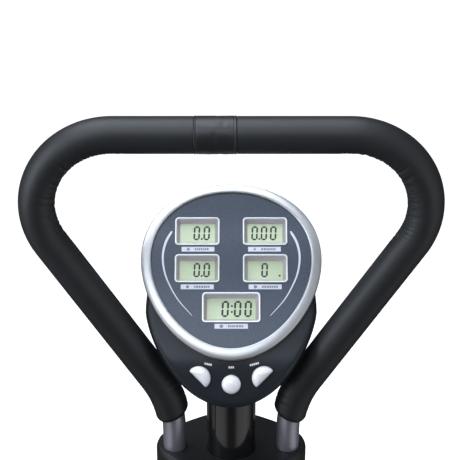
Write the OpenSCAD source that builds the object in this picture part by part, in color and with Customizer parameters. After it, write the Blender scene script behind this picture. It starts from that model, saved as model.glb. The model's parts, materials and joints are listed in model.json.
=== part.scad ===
// Elliptical trainer with a fixed loop handlebar, a console and two swinging arms.
// Millimetres. +Z is up, +Y is the front of the machine and the user faces it, +X is the user's right.
// The origin is on the floor, at the middle of the whole machine.
// At rest the left foot is fully forward and the right foot fully back.

/* [Base] */
// Distance from the middle of the machine to the front stabilizer
front_y = 520; // [510:5:530]
// Length of each stabilizer tube
stabilizer_len = 480; // [460:10:500]
// Diameter of the stabilizer tubes
stabilizer_d = 50; // [49:0.5:51]
// Height of the stabilizer tubes' axis above the floor
stabilizer_z = 38; // [38:0.5:40]
// Width of the rectangular main beam
beam_w = 60; // [56:1:60]

/* [Mast] */
// Diameter of the mast tube
mast_d = 54; // [52:0.5:55]
// Lean of the mast towards the user, in degrees
mast_lean = 8; // [7:0.5:9]
// Distance from the middle of the machine to the foot of the mast
mast_foot_y = 400; // [396:1:404]
// Height of the pivot of the swing arms
pivot_z = 830; // [825:1:835]
// Height of the middle of the shroud's top face
shroud_z = 1150; // [1140:1:1160]

/* [Handlebar] */
// Diameter of the steel handlebar tube
bar_d = 25.4; // [25:0.1:25.4]
// Outer diameter of the foam sleeves
foam_d = 38; // [36:0.5:39]
// Distance of each upright end of the loop from the middle plane
bar_foot_x = 63.2; // [61:0.1:64]
// Height of the lower corner of the loop above the shroud, along the mast
bar_knee = 61.5; // [58:0.1:64]
// Height of the top bar's centreline above the shroud, along the mast
bar_top = 380.4; // [375:0.1:385]
// Splay of the loop's sides from the mast's direction, in degrees
bar_splay = 32.3; // [31:0.1:33]
// Bend radius at the two upper corners
bar_top_bend = 80.2; // [78:0.1:86]
// Bend radius at the two lower corners
bar_knee_bend = 120; // [110:1:130]

/* [Console] */
// Width of the console's rim
rim_w = 194; // [190:1:198]
// Height of the console's rim, up its face
rim_h = 198; // [195:1:200]
// How much wider the egg-shaped face is at its top than at its bottom
egg_k = 0.14; // [0.12:0.01:0.16]
// Tilt of the console's face from the mast's direction, in degrees
console_tilt = 43; // [42:0.5:44]
// Tilt of the button panel back from the console's face, in degrees
apron_tilt = 19; // [18:0.5:20]
// How far a console button travels when it is pressed
button_travel = 1.2; // [0.8:0.1:1.4]

/* [Drive] */
// Distance from the crank axle to each pedal spindle
crank_r = 140; // [136:1:142]
// Height of the crank axle
crank_z = 270; // [268:1:274]
// Distance of the crank axle behind the middle of the machine
crank_back = 250; // [246:1:254]
// Radius of the drive pulley on the crank axle
pulley_r = 120; // [116:1:122]
// Radius of the flywheel
flywheel_r = 115; // [110:1:116]
// Outer width of the drive housing
housing_w = 104; // [104:1:106]

/* [Linkage] */
// Height of the front pivots of the pedal arms at the ends of the stride
link_z = 250; // [246:1:252]
// Distance of the swing arms' tubes from the middle plane
swing_x = 178; // [177:1:180]
// Distance of the hand grips from the middle plane
grip_x = 292; // [288:1:296]
// Length of each foot plate
plate_len = 350; // [330:5:355]
// Width of each foot plate
plate_w = 130; // [124:1:132]

/* [Hidden] */
$fn = 64;

LEFT = -1;
RIGHT = 1;
slack = 0.05;      // radial clearance of a running fit
gap = 0.3;         // clearance between fixed pieces
weld = 1.5;        // how far a straight stretch of tube runs into its bend
fat = 0.15;        // how much fatter a bend is than its straight stretches
cut = 1;           // how far a cutting tool runs past the face it cuts
wall = 2.5;        // wall of the plastic covers
tube_wall = 2;     // wall of the steel tubes
big = 400;         // size of a block that cuts away half of a piece

// Base
beam_h = 40;
beam_z = stabilizer_z + stabilizer_d / 2;
beam_top = beam_z + beam_h;
wheel_r = 22;
wheel_reach = 44;
wheel_z = 29;
cap_r = 34;
cap_len = 50;
machine_end = front_y + wheel_reach + wheel_r;
rear_y = cap_r - machine_end;
bolt_r = 4;
bolt_x = 46;
pin_r = 4;

// Mast: its axis passes through the foot point and leans back to the user
mast_foot_z = 110;
stub_top = 232;
mast_start = 126;
function mast_y(z) = mast_foot_y - (z - mast_foot_z) * tan(mast_lean);
pivot = [mast_y(pivot_z), pivot_z];
axle_r = 10;
axle_tube_r = 18;
axle_tube_half = 146;
hub_half = 25;
hub_r = 23;
bush_r = 14;
bracket_drop = 70;
knob_z = 980;
knob_r = 22;

// Handlebar loop, in the mast's own plane, from the left end to the right end
bar_r = bar_d / 2;
bar_corner_x = bar_foot_x + (bar_top - bar_knee) * tan(bar_splay);
bar_end = -55;
foam_cut_a = 8.8;  // how far the tube leans where the foam ends, partway round the knee
foam_way = [sin(foam_cut_a), cos(foam_cut_a)];
foam_cut = [bar_foot_x + bar_knee_bend * (1 - cos(foam_cut_a)),
    bar_knee + bar_knee_bend * (sin(foam_cut_a) - tan(bar_splay / 2))];
foam_knee = foam_cut + foam_way * bar_knee_bend * tan((bar_splay - foam_cut_a) / 2);
foam_start = foam_cut - foam_way * 2;
joint_x = -16;     // where the two foam sleeves meet
joint_half = 22;   // half the length of the sleeve over that joint
foam_bore = bar_r + gap;
loop_left = [[-bar_foot_x, bar_knee], [-bar_corner_x, bar_top]];
loop_right = [[bar_corner_x, bar_top], [bar_foot_x, bar_knee]];
side_bends = [bar_knee_bend, bar_top_bend];

// Shroud around the handlebar bracket
shroud_h = 95;
shroud_front_r = 100;
shroud_front_reach = 50;
shroud_edge_a = 44;
shroud_side_pts = [[76.5, -16.5], [82, -8], [84.5, 2], [83, 14], [79, 25], [53, 47.5], [28, 62]];
shroud_screw = [45, -82];

// Console, in the frame of its face: X right, Y up the face, Z out of it
console_along = 203.5;
console_set_back = 38;
rim_side = 11.3;
rim_drop = 1.1;    // the rim's band is this much wider below than above
rim_base = -6;
deck_z = -6.2;
seam_z = -26;
back_z = -41;
back_inset = 7.5;   // how much smaller the rear shell is, to clear the handlebar
ear_y = -33;
ear_x = 94;
chin_power = 1.55;
chin = 112;
window_top_y = 44.4;
window_mid_y = 2.2;
window_low_y = -41.5;
window_x = 36.8;
small_window = [48.5, 32];
large_window = [62.5, 33.5];
windows = [
    [-window_x, window_top_y, small_window], [window_x, window_top_y, small_window],
    [-window_x, window_mid_y, small_window], [window_x, window_mid_y, small_window],
    [0, window_low_y, large_window],
];
frame_band = 5.2;
frame_depth = 5.4;
window_round = 4;
button_rise = 3;
button_flange = 1.2;
button_x = 34.6;
side_button_down = 18;
set_button_down = 24.7;
side_button_r = 13;
set_button_r = 10.3;
door = [0, 26, 66, 38];
hinge_r = 1.1;
door_pin_r = 0.9;
cell_r = 7.1;

// Drive
crank = [-crank_back, crank_z];
fly = [10, crank_z - 25];
fly_pulley_r = 22;
belt_x = [36, 42];
belt_t = 2.5;
belt_gap = 0.45;
span = norm(fly - crank);
belt_a = atan2(fly[1] - crank[1], fly[0] - crank[0]) - 90 + asin((pulley_r - fly_pulley_r) / span);
low_normal = [cos(belt_a), sin(belt_a)];
idler_r = 18;
idler = (crank + fly) / 2
    + low_normal * ((pulley_r + fly_pulley_r) / 2 + belt_t + 2 * belt_gap + idler_r);
brake = [fly[0] + 128, fly[1] - 88];
magnet_r = flywheel_r + 3;
shell_bottom = 65;
half_w = housing_w / 2;
screw_spots = [[-358, 125], [-120, 368], [172, 122]];
bottom_bracket = 34;
arm_x = half_w + 10;
arm_t = 18;
spindle_r = 8;
drain_r = 3;

// Linkage
stride = crank_r;
link_drop = pivot_z - link_z;
swing_a = atan(stride / link_drop);
swing_len = norm([stride, link_drop]);
pedal_x = 135;
eye_r = 18;
eye_x = [112.5, 157.5];
front_eye_x = [115, 155];
swing_eye_x = [160, 196];
arm_w = 30;
arm_h = 40;
plate_x = 149;
plate_start = 110;
plate_base = 8;
plate_wall = 5;
plate_rim = 30;
handle_r = 14;
handle_lean = 8;
handle_pts = [[swing_x, 30], [swing_x, 122], [grip_x, 262], [grip_x, 600]];
grip_r = 19;
grip_from = 385;
grip_to = 597;

// ---------- helpers ----------

// Round bar along X
module bar_x(x0, x1, r) translate([x0, 0, 0]) rotate([0, 90, 0]) cylinder(h = x1 - x0, r = r);

// Moves to a point [y, z] of the side view
module at(p) translate([0, p[0], p[1]]) children();

// Draws the right-hand piece, or its mirror image on the left
module on_side(s) mirror([s < 0 ? 1 : 0, 0, 0]) children();

// Extrudes an outline of the side view, drawn as [y, z], from x0 to x1
module slab(x0, x1) translate([x0, 0, 0]) rotate([90, 0, 90]) linear_extrude(x1 - x0) children();

// Moves to p with Y running towards q, both points [y, z]
module toward(p, q) at(p) rotate([atan2(q[1] - p[1], q[0] - p[0]), 0, 0]) children();

// Moves to height z on the mast's axis, with Z along the mast and -Y facing the user
module on_mast(z) at([mast_y(z), z]) rotate([mast_lean, 0, 0]) children();

// Moves to the middle of the console's face
module on_console() on_mast(shroud_z) translate([0, console_set_back, console_along])
    rotate([console_tilt, 0, 0]) children();

// Moves onto the button panel, at a distance down from the rim's lower edge
module on_apron(x, down) on_console() translate([0, -rim_h / 2, deck_z])
    rotate([apron_tilt, 0, 0]) translate([x, -down, 0]) children();

module block(x, y, z) translate([x[0], y[0], z[0]]) cube([x[1] - x[0], y[1] - y[0], z[1] - z[0]]);

// Rectangle with round corners, centred
module rounded(w, h, r) polygon([for (c = [0 : 3], a = [0 : 15 : 90]) let (b = 90 * c + 45)
    [sign(cos(b)) * (w / 2 - r) + r * cos(90 * c + a), sign(sin(b)) * (h / 2 - r) + r * sin(90 * c + a)]]);

function heading(p, q) = atan2(q[1] - p[1], q[0] - p[0]);
function turn(a) = (a + 540) % 360 - 180;
function corner_trim(pts, i, bend) =
    bend * tan(abs(turn(heading(pts[i], pts[i + 1]) - heading(pts[i - 1], pts[i]))) / 2);

// Round bar through corner points [x, z], each inner corner bent to its own radius.
// The bends are a hair fatter, so that each straight stretch ends inside them; ext lengthens both ends.
module bent_bar(pts, bends, r, ext = 0) {
    last = len(pts) - 1;
    trims = [for (i = [0 : last])
        i == 0 || i == last ? ext : weld - corner_trim(pts, i, bends[i - 1])];
    for (i = [0 : last - 1]) {
        a = heading(pts[i], pts[i + 1]);
        run = norm(pts[i + 1] - pts[i]) + trims[i] + trims[i + 1];
        translate([pts[i][0] - trims[i] * cos(a), 0, pts[i][1] - trims[i] * sin(a)])
            rotate([0, 90 - a, 0]) cylinder(h = run, r = r);
    }
    for (i = [1 : last - 1]) {
        a = heading(pts[i - 1], pts[i]);
        t = turn(heading(pts[i], pts[i + 1]) - a);
        side = t > 0 ? 1 : -1;
        start = pts[i] - corner_trim(pts, i, bends[i - 1]) * [cos(a), sin(a)];
        middle = start + side * bends[i - 1] * [-sin(a), cos(a)];
        translate([middle[0], 0, middle[1]]) rotate([90, 0, 0]) rotate([0, 0, a - side * 90 + min(t, 0)])
            rotate_extrude(angle = abs(t)) translate([bends[i - 1], 0]) circle(r = r + fat);
    }
}

module bent_tube(pts, bends, r, bore) difference() {
    bent_bar(pts, bends, r);
    bent_bar(pts, bends, bore, cut);
}

module pipe(h, r, bore) difference() {
    cylinder(h = h, r = r);
    translate([0, 0, -cut]) cylinder(h = h + 2 * cut, r = bore);
}

// Self-tapping screw with its head on z = 0, pointing down
module screw(shank, r = 2) {
    translate([0, 0, -shank]) cylinder(h = shank + 0.5, r = r);
    cylinder(h = 2.5, r = 4);
}

// ---------- base ----------

module main_frame() color("dimgray") {
    difference() {
        union() {
            block([-beam_w / 2, beam_w / 2], [rear_y - 26, front_y + 26], [beam_z, beam_top]);
            for (y = [rear_y, front_y]) at([y, 0])
                block([-62, 62], [-24, 24], [beam_z - 8, beam_z + 5]);
        }
        block([tube_wall - beam_w / 2, beam_w / 2 - tube_wall], [rear_y - 24, front_y + 24],
            [beam_z + tube_wall, beam_top - tube_wall]);
        for (y = [rear_y, front_y]) {
            at([y, stabilizer_z]) bar_x(-70, 70, stabilizer_d / 2 + 0.1);
            for (x = [-bolt_x, bolt_x]) translate([x, y, beam_z - 10])
                cylinder(h = 20, r = bolt_r + gap);
        }
        for (y = [cable_floor_y, cable_rise_y]) translate([0, y, beam_top - 5])
            cylinder(h = 10, r = 6);
    }
    mast_stub();
    bottom_bracket_post();
    flywheel_fork();
    idler_plate();
    brake_lugs();
}

module mast_stub() difference() {
    on_mast(mast_foot_z) translate([0, 0, -30]) cylinder(h = stub_top - mast_foot_z + 30, r = mast_d / 2 + 4.5);
    on_mast(mast_foot_z) translate([0, 0, -40]) cylinder(h = big, r = mast_d / 2 + slack);
    block([-50, 50], [mast_foot_y - 60, mast_foot_y + 60], [0, beam_top]);
    mast_bolt_holes();
}

module mast_bolt_holes() for (z = mast_bolt_z) on_mast(z) bar_x(-60, 60, bolt_r + gap);

module bottom_bracket_post() difference() {
    union() {
        at(crank) bar_x(-bottom_bracket, bottom_bracket, 26);
        block([-16, 16], [crank[0] - 25, crank[0] + 25], [beam_top, crank[1]]);
    }
    at(crank) bar_x(-60, 60, 21);
}

// Two plates that hold the ends of the flywheel's axle
module flywheel_fork() difference() {
    union() {
        block([-6, -2], [fly[0] - 20, fly[0] + 20], [beam_top, fly[1] + 18]);
        block([44.5, 48], [fly[0] - 20, fly[0] + 20], [85, fly[1] + 18]);
        block([beam_w / 2, 48], [fly[0] - 20, fly[0] + 20], [85, 91]);
    }
    at(fly) bar_x(-60, 60, 5.1);
}

module idler_plate() {
    block([beam_w / 2, 33.5], [idler[0] - 12, idler[0] + 12], [80, idler[1] + 12]);
    at(idler) {
        bar_x(33, 45, 5);
        bar_x(44, 46, 8);
    }
}

module brake_lugs() {
    for (s = [LEFT, RIGHT]) on_side(s)
        block([17, 21], [brake[0] - 10, brake[0] + 10], [beam_top, brake[1] + 10]);
    at(brake) bar_x(-20, 20, 5);
}

module stabilizer(y) color("dimgray") difference() {
    at([y, stabilizer_z]) bar_x(-stabilizer_len / 2, stabilizer_len / 2, stabilizer_d / 2);
    at([y, stabilizer_z]) bar_x(-stabilizer_len, stabilizer_len, stabilizer_d / 2 - tube_wall);
    for (x = [-bolt_x, bolt_x]) translate([x, y, 0]) cylinder(h = 80, r = bolt_r + gap);
}

module front_stabilizer() stabilizer(front_y);
module rear_stabilizer() stabilizer(rear_y);

// Carriage bolts up through the stabilizers, and bolts across the mast's foot
module frame_bolts() color("silver") {
    for (x = [-bolt_x, bolt_x], y = [rear_y, front_y]) translate([x, y, 0]) {
        translate([0, 0, stabilizer_z - stabilizer_d / 2 - 3]) {
            cylinder(h = 2.95, r = 9);
            cylinder(h = 70, r = bolt_r);
        }
        translate([0, 0, beam_z + 5]) cylinder(h = 9, r = 7.5, $fn = 6);
    }
    for (z = mast_bolt_z) on_mast(z) {
        bar_x(-mast_d / 2 - 12, mast_d / 2 + 12, bolt_r);
        for (s = [LEFT, RIGHT]) on_side(s) bar_x(mast_d / 2 + 4.5, mast_d / 2 + 11, 7);
    }
}

// End caps of the front stabilizer, each with a flat sole and lugs for a transport wheel
module front_caps() color("#1c1c1e") for (s = [LEFT, RIGHT]) on_side(s) difference() {
    union() {
        at([front_y, stabilizer_z]) bar_x(cap_inner, cap_inner + cap_len, cap_r - 2);
        block([cap_inner, cap_inner + cap_len], [front_y - 32, front_y + 32], [0, stabilizer_z]);
        for (x = [cap_inner + 14, cap_inner + 43])
            block([x, x + 5], [front_y + 20, front_y + wheel_reach + 8], [wheel_z - 9, wheel_z + 9]);
        at([front_y + wheel_reach, wheel_z]) bar_x(cap_inner + 14, cap_inner + 48, pin_r);
    }
    at([front_y, stabilizer_z]) bar_x(cap_inner - cut, stabilizer_len / 2, stabilizer_d / 2 + slack);
    at([front_y + wheel_reach, wheel_z]) difference() {
        bar_x(cap_inner + 19, cap_inner + 43, wheel_r + 3);
        bar_x(cap_inner + 18, cap_inner + 44, pin_r);
    }
}

module transport_wheel(s) color("#2a2a2c") on_side(s) at([front_y + wheel_reach, wheel_z]) difference() {
    union() {
        bar_x(cap_inner + 21, cap_inner + 41, wheel_r);
        bar_x(cap_inner + 20, cap_inner + 42, 8);
    }
    bar_x(cap_inner, cap_inner + 60, pin_r + slack);
}

module transport_wheel_left() transport_wheel(LEFT);
module transport_wheel_right() transport_wheel(RIGHT);

// Levelling cap: an eccentric disc, turned on the tube's end to raise or lower that corner
module rear_cap(s) color("#1c1c1e") on_side(s) difference() {
    at([rear_y, cap_r]) bar_x(cap_inner, cap_inner + cap_len, cap_r);
    at([rear_y, stabilizer_z]) bar_x(cap_inner - cut, stabilizer_len / 2 + 0.5, stabilizer_d / 2 + slack);
}

module rear_cap_left() rear_cap(LEFT);
module rear_cap_right() rear_cap(RIGHT);

// ---------- mast and pivots ----------

mast_end = console_along - console_set_back * tan(console_tilt);   // where the mast's axis meets the face
module mast() color("black") difference() {
    union() {
        difference() {
            on_mast(mast_start) cylinder(h = big * 4, r = mast_d / 2);
            on_mast(mast_start) translate([0, 0, -cut]) cylinder(h = big * 5, r = mast_d / 2 - tube_wall);
            on_console() block([-big, big], [-big, big], [mast_cut_z, big * 5]);
        }
        on_console() block([-30, 30], [-120, -40], [mast_cut_z, mast_cut_z + 3]);
        at(pivot) bar_x(-axle_tube_half, axle_tube_half, axle_tube_r);
    }
    at(pivot) bar_x(-big, big, axle_r + gap);
    mast_bolt_holes();
    on_mast(knob_z - 12) rotate([90, 0, 0]) cylinder(h = 60, r = 5);
    for (x = [-22, 22], y = plate_screw_y) on_console() translate([x, y, -60]) cylinder(h = 60, r = 2.3);
}

module swing_axle() color("silver") at(pivot) bar_x(-axle_half, axle_half, axle_r);

// Flanged plastic bushes, two in each swing arm's hub
module swing_bushes() color("#3a3a3c") for (s = [LEFT, RIGHT]) on_side(s) at(pivot) difference() {
    union() for (e = [LEFT, RIGHT]) translate([swing_x, 0, 0]) on_side(e) {
        bar_x(hub_half - 16, hub_half + 1, bush_r - slack);
        bar_x(hub_half + 0.4, hub_half + 2.6, bush_r + 5);
    }
    bar_x(0, 300, axle_r + 0.02);
}

module axle_end_caps() color("#1c1c1e") for (s = [LEFT, RIGHT]) on_side(s) at(pivot) difference() {
    union() {
        bar_x(axle_half - 0.5, axle_half + 8, 21);
        bar_x(axle_half + 8, axle_half + 13, 13);
    }
    bar_x(0, axle_half, axle_r + 0.02);
}

module swing_arm(s) color("#26272a") on_side(s) at(pivot) difference() {
    union() {
        bar_x(swing_x - hub_half, swing_x + hub_half, hub_r);
        rotate([handle_lean - s * swing_a, 0, 0]) translate([swing_x, 0, 0]) cylinder(h = 82, r = 19);
        rotate([-s * swing_a, 0, 0]) translate([swing_x, 0, -swing_len]) {
            cylinder(h = swing_len, r = 17);
            bar_x(swing_eye_x[0] - swing_x, swing_eye_x[1] - swing_x, 21);
            bar_x(swing_eye_x[1] - swing_x, swing_eye_x[1] - swing_x + 6, 11);
        }
    }
    bar_x(0, 300, bush_r);
    rotate([handle_lean - s * swing_a, 0, 0]) translate([swing_x, 0, 28])
        cylinder(h = 60, r = handle_r + 0.2);
    rotate([-s * swing_a, 0, 0]) translate([swing_x, 0, -swing_len]) {
        translate([0, 0, 25]) cylinder(h = swing_len - 50, r = 17 - tube_wall);
        translate([0, 0, 32]) bar_x(-20, 0, drain_r);
    }
}

module swing_arm_left() swing_arm(LEFT);
module swing_arm_right() swing_arm(RIGHT);

// Leans the upper half of a swing arm as it stands at rest
module on_handle(s) on_side(s) at(pivot) rotate([handle_lean - s * swing_a, 0, 0]) children();

module handle(s) color("#26272a") on_handle(s) bent_tube(handle_pts, [80, 80], handle_r, handle_r - tube_wall);

module handle_left() handle(LEFT);
module handle_right() handle(RIGHT);

module grip(s) color("#17181a") on_handle(s) translate([grip_x, 0, grip_from]) difference() {
    cylinder(h = grip_to - grip_from + 9, r = grip_r);
    translate([0, 0, -cut]) cylinder(h = 600 - grip_from + cut, r = handle_r + gap);
}

module grip_left() grip(LEFT);
module grip_right() grip(RIGHT);

// ---------- handlebar and shroud ----------

// Steel collar on the mast with a socket for each end of the loop
module handlebar_bracket() color("gray") on_mast(shroud_z) difference() {
    union() {
        translate([0, 0, -75]) cylinder(h = 65, r = mast_d / 2 + 4.5);
        for (s = [LEFT, RIGHT]) on_side(s) {
            translate([bar_foot_x, 0, -75]) cylinder(h = 67, r = bar_r + 3.6);
            block([mast_d / 2 + 3, bar_foot_x - bar_r - 2], [-4, 4], [-bracket_drop, -15]);
        }
    }
    translate([0, 0, -80]) cylinder(h = 90, r = mast_d / 2 + slack);
    for (s = [LEFT, RIGHT]) on_side(s) translate([bar_foot_x, 0, bar_end]) cylinder(h = 70, r = bar_r + 0.1);
}

module handlebar_tube() color("silver") on_mast(shroud_z)
    bent_tube(concat([[-bar_foot_x, bar_end]], loop_left, loop_right, [[bar_foot_x, bar_end]]),
        [bar_knee_bend, bar_top_bend, bar_top_bend, bar_knee_bend], bar_r, bar_r - tube_wall);

function flipped(p) = [-p[0], p[1]];

module foam_left() color("#1d2023") on_mast(shroud_z) {
    bent_tube([flipped(foam_start), flipped(foam_knee), loop_left[1], [joint_x - joint_half, bar_top]],
        side_bends, foam_d / 2, foam_bore);
    translate([joint_x - joint_half, 0, bar_top]) rotate([0, 90, 0])
        pipe(joint_half - gap, foam_d / 2 - 1, foam_bore);
}

module foam_right() color("#1d2023") on_mast(shroud_z) {
    bent_tube([foam_start, foam_knee, loop_right[0], [joint_x + joint_half, bar_top]],
        side_bends, foam_d / 2, foam_bore);
    translate([joint_x + gap, 0, bar_top]) rotate([0, 90, 0])
        pipe(joint_half - gap, foam_d / 2 - 1, foam_bore);
}

module foam_joint_sleeve() color("#26292c") on_mast(shroud_z)
    translate([joint_x - joint_half + 0.2, 0, bar_top]) rotate([0, 90, 0])
        pipe(2 * joint_half - 0.4, foam_d / 2 + 0.4, foam_d / 2 - 0.9);

// Outline of the shroud seen along the mast, drawn smaller by t all round
function shroud_pts(t) = let (k = 1 - t / 60, r = shroud_front_r - t) concat(
    [for (a = [-shroud_edge_a : 5.5 : shroud_edge_a])
        [r * sin(a), shroud_front_r - shroud_front_reach - r * cos(a)]],
    [for (p = shroud_side_pts) p * k],
    [for (i = [len(shroud_side_pts) - 1 : -1 : 0])
        [-shroud_side_pts[i][0], shroud_side_pts[i][1]] * k]);

module shroud_shell() difference() {
    union() {
        difference() {
            translate([0, 0, -shroud_h]) linear_extrude(shroud_h) polygon(shroud_pts(0));
            translate([0, 0, wall - shroud_h]) linear_extrude(shroud_h - 2 * wall)
                polygon(shroud_pts(wall));
        }
        intersection() {
            translate([0, 0, -shroud_h]) linear_extrude(shroud_h) polygon(shroud_pts(1));
            for (s = [LEFT, RIGHT]) translate([s * shroud_screw[0], 60, shroud_screw[1]])
                rotate([90, 0, 0]) cylinder(h = 110, r = 5);
        }
    }
    translate([0, 0, -shroud_h - cut]) cylinder(h = shroud_h + 2 * cut, r = mast_d / 2 + gap);
    for (s = [LEFT, RIGHT]) {
        translate([s * bar_foot_x, 0, -20]) cylinder(h = 40, r = bar_r + 0.5);
        translate([s * shroud_screw[0], 60, shroud_screw[1]]) rotate([90, 0, 0]) {
            cylinder(h = 80, r = 2.1);
            cylinder(h = 60 - shroud_screw_y, r = 4.4);
        }
    }
}

module shroud_front() color("#202225") on_mast(shroud_z) intersection() {
    shroud_shell();
    block([-100, 100], [-100, -0.05], [-100, 10]);
}

module shroud_rear() color("#202225") on_mast(shroud_z) intersection() {
    shroud_shell();
    block([-100, 100], [0.05, 100], [-100, 10]);
}

// All the self-tapping screws that close the plastic covers
module cover_screws() color("#3a3a3c") {
    for (s = [LEFT, RIGHT]) on_mast(shroud_z)
        translate([s * shroud_screw[0], shroud_screw_y, shroud_screw[1]]) rotate([-90, 0, 0]) screw(34);
    for (p = screw_spots) at(p) translate([housing_screw_x, 0, 0]) rotate([0, 90, 0]) screw(30);
    for (p = console_screw_spots) on_console() translate([p[0], p[1], back_z + 6])
        rotate([180, 0, 0]) screw(22);
    for (x = [-22, 22], y = plate_screw_y) on_console() translate([x, y, mast_cut_z + 3]) screw(9);
}

// ---------- console ----------

function egg(w, h, a) = [w / 2 * cos(a) * (1 + egg_k * sin(a)), h / 2 * sin(a)];

module egg_face(w, h) polygon([for (a = [0 : 7.5 : 352.5]) egg(w, h, a)]);

// Half-width of the chin, as a share of the ears', at a share u of the way down it
function chin_width(u) = sqrt(1 - pow(u, chin_power));
chin_steps = [0.03, 0.1, 0.19, 0.28, 0.37, 0.46, 0.55, 0.64, 0.72, 0.8, 0.87, 0.93, 0.97, 0.992];

// Outline of the housing: the egg above, a longer chin below, drawn smaller by t all round
module housing_face(t) polygon(concat(
    [for (a = [-12 : 8.5 : 192]) egg(rim_w - 6 - 2 * t, rim_h - 6 - 2 * t, a)],
    [for (u = chin_steps) [-(ear_x - t) * chin_width(u), ear_y - (chin - t) * u]],
    [[0, ear_y - chin + t]],
    [for (i = [len(chin_steps) - 1 : -1 : 0]) let (u = chin_steps[i])
        [(ear_x - t) * chin_width(u), ear_y - (chin - t) * u]]));

// Everything in front of the button panel, lowered by t
module over_apron(t) translate([0, -rim_h / 2, deck_z]) rotate([apron_tilt, 0, 0])
    block([-big, big], [-big, big], [-t, big]);

module console_body(t, z0, z1) difference() {
    translate([0, 0, z0]) linear_extrude(z1 - z0) housing_face(t);
    over_apron(t);
}

module side_button_shape(r, s) mirror([s > 0 ? 1 : 0, 0]) rotate(-45) difference() {
    circle(r = r);
    translate([-30, -32 - r + side_button_r]) square([60, 30]);
}

// The mast's end, as a clearance through the console's covers
module mast_pass() on_mast(shroud_z) cylinder(h = big, r = mast_d / 2 + 0.6);

// Front shell of the console, with the button panel
module console_housing() color("#23272c") difference() {
    on_console() difference() {
        console_body(0, seam_z, deck_z);
        console_body(wall, seam_z - cut, deck_z - wall);
        translate([0, 0, -20]) linear_extrude(30) egg_face(rim_w - 30, rim_h - 34);
    }
    for (s = [LEFT, RIGHT]) on_apron(s * button_x, side_button_down) translate([0, 0, -20])
        linear_extrude(40) side_button_shape(side_button_r + 0.2, s);
    on_apron(0, set_button_down) translate([0, 0, -20]) cylinder(h = 40, r = set_button_r + 0.2);
    mast_pass();
}

// Rear shell of the console, with the battery compartment and the screw posts
module console_back() color("#23272c") difference() {
    on_console() difference() {
        union() {
            difference() {
                console_body(back_inset, back_z, seam_z - 0.05);
                console_body(back_inset + wall, back_z + wall, seam_z + cut);
            }
            for (p = console_screw_spots) translate([p[0], p[1], back_z]) cylinder(h = -back_z + seam_z, r = 5);
        }
        for (p = console_screw_spots) translate([p[0], p[1], back_z - cut]) {
            cylinder(h = 50, r = 2.1);
            cylinder(h = 6 + cut, r = 4.4);
        }
        door_block(gap + 0.1, [back_z - cut, back_z + wall + cut]);
        on_door_hinge() bar_x(-door[2] / 2 - 2, door[2] / 2 + 2, door_pin_r + 0.1);
    }
    mast_pass();
}

module door_block(t, z) block([door[0] - door[2] / 2 - t, door[0] + door[2] / 2 + t],
    [door[1] - door[3] / 2 - t, door[1] + door[3] / 2 + t], z);

module on_door_hinge() translate([0, door[1] + door[3] / 2 - hinge_r, back_z + hinge_r]) children();

// Lid that swings on a barrel along its upper edge, with a short pin at each end
module battery_door() color("#2b2f34") on_console() {
    block([-door[2] / 2, door[2] / 2], [door[1] - door[3] / 2, door[1] + door[3] / 2 - hinge_r],
        [back_z + 0.1, back_z + 2 * hinge_r - 0.1]);
    on_door_hinge() {
        bar_x(-door[2] / 2, door[2] / 2, hinge_r);
        bar_x(-door[2] / 2 - 1.5, door[2] / 2 + 1.5, door_pin_r);
    }
}

module batteries() color("#8d9096") on_console() for (y = [-8, 8])
    translate([0, door[1] + y, back_z + 3.2 + cell_r]) {
        bar_x(-25, 24, cell_r);
        bar_x(24, 25.5, 2.5);
    }

module console_rim() color("#c8ccd6") on_console() translate([0, 0, rim_base]) difference() {
    linear_extrude(8) egg_face(rim_w, rim_h);
    translate([0, rim_drop, -cut]) linear_extrude(12) egg_face(face_w, face_h);
}

module console_faceplate() color("#47525f") on_console() difference() {
    translate([0, rim_drop, -3]) linear_extrude(3) egg_face(face_w - 0.4, face_h - 0.4);
    for (w = windows) translate([w[0], w[1], -5]) linear_extrude(10)
        rounded(w[2][0] + 0.2, w[2][1] + 0.2, window_round);
}

module window_frames() color("#b8b4bb") on_console() for (w = windows)
    translate([w[0], w[1], -frame_depth]) linear_extrude(frame_depth + 1.2) difference() {
        rounded(w[2][0], w[2][1], window_round);
        rounded(w[2][0] - 2 * frame_band, w[2][1] - 2 * frame_band, window_round / 4);
    }

module lcd_panels() color("#bccbab") on_console() for (w = windows)
    translate([w[0] - w[2][0] / 2 + 1, w[1] - w[2][1] / 2 + 1, -frame_depth - 2.8])
        cube([w[2][0] - 2, w[2][1] - 2, 2.4]);

// Main board under the windows, and a small one under the buttons
module circuit_boards() color("darkgreen") {
    on_console() translate([0, 8, -12]) linear_extrude(1.6) egg_face(150, 140);
    on_apron(0, 23) translate([0, 0, -9.8]) block([-40, 40], [-5, 13], [0, 1.6]);
}

module side_button(s) color("#d3d3d8") on_apron(s * button_x, side_button_down) {
    translate([0, 0, -5.5]) linear_extrude(5.5 + button_rise) side_button_shape(side_button_r, s);
    translate([0, 0, -6.5]) linear_extrude(2) side_button_shape(side_button_r + button_flange, s);
}

module mode_button() side_button(LEFT);
module reset_button() side_button(RIGHT);
module set_button() color("#d3d3d8") on_apron(0, set_button_down) {
    translate([0, 0, -5.5]) cylinder(h = 5.5 + button_rise, r = set_button_r);
    translate([0, 0, -6]) cylinder(h = 1.5, r = set_button_r + button_flange);
}

// ---------- tension control and brake ----------

module knob_base() color("#202225") on_mast(knob_z) difference() {
    block([-21, 21], [-mast_d / 2 - 22, -mast_d / 2 + 8], [-32, 32]);
    translate([0, 0, -60]) cylinder(h = 120, r = mast_d / 2 + 0.05);
    rotate([90, 0, 0]) cylinder(h = 80, r = pin_r + slack);
    translate([0, 0, -12]) rotate([90, 0, 0]) translate([0, 0, 20]) cylinder(h = 23, r = 4);
}

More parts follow.
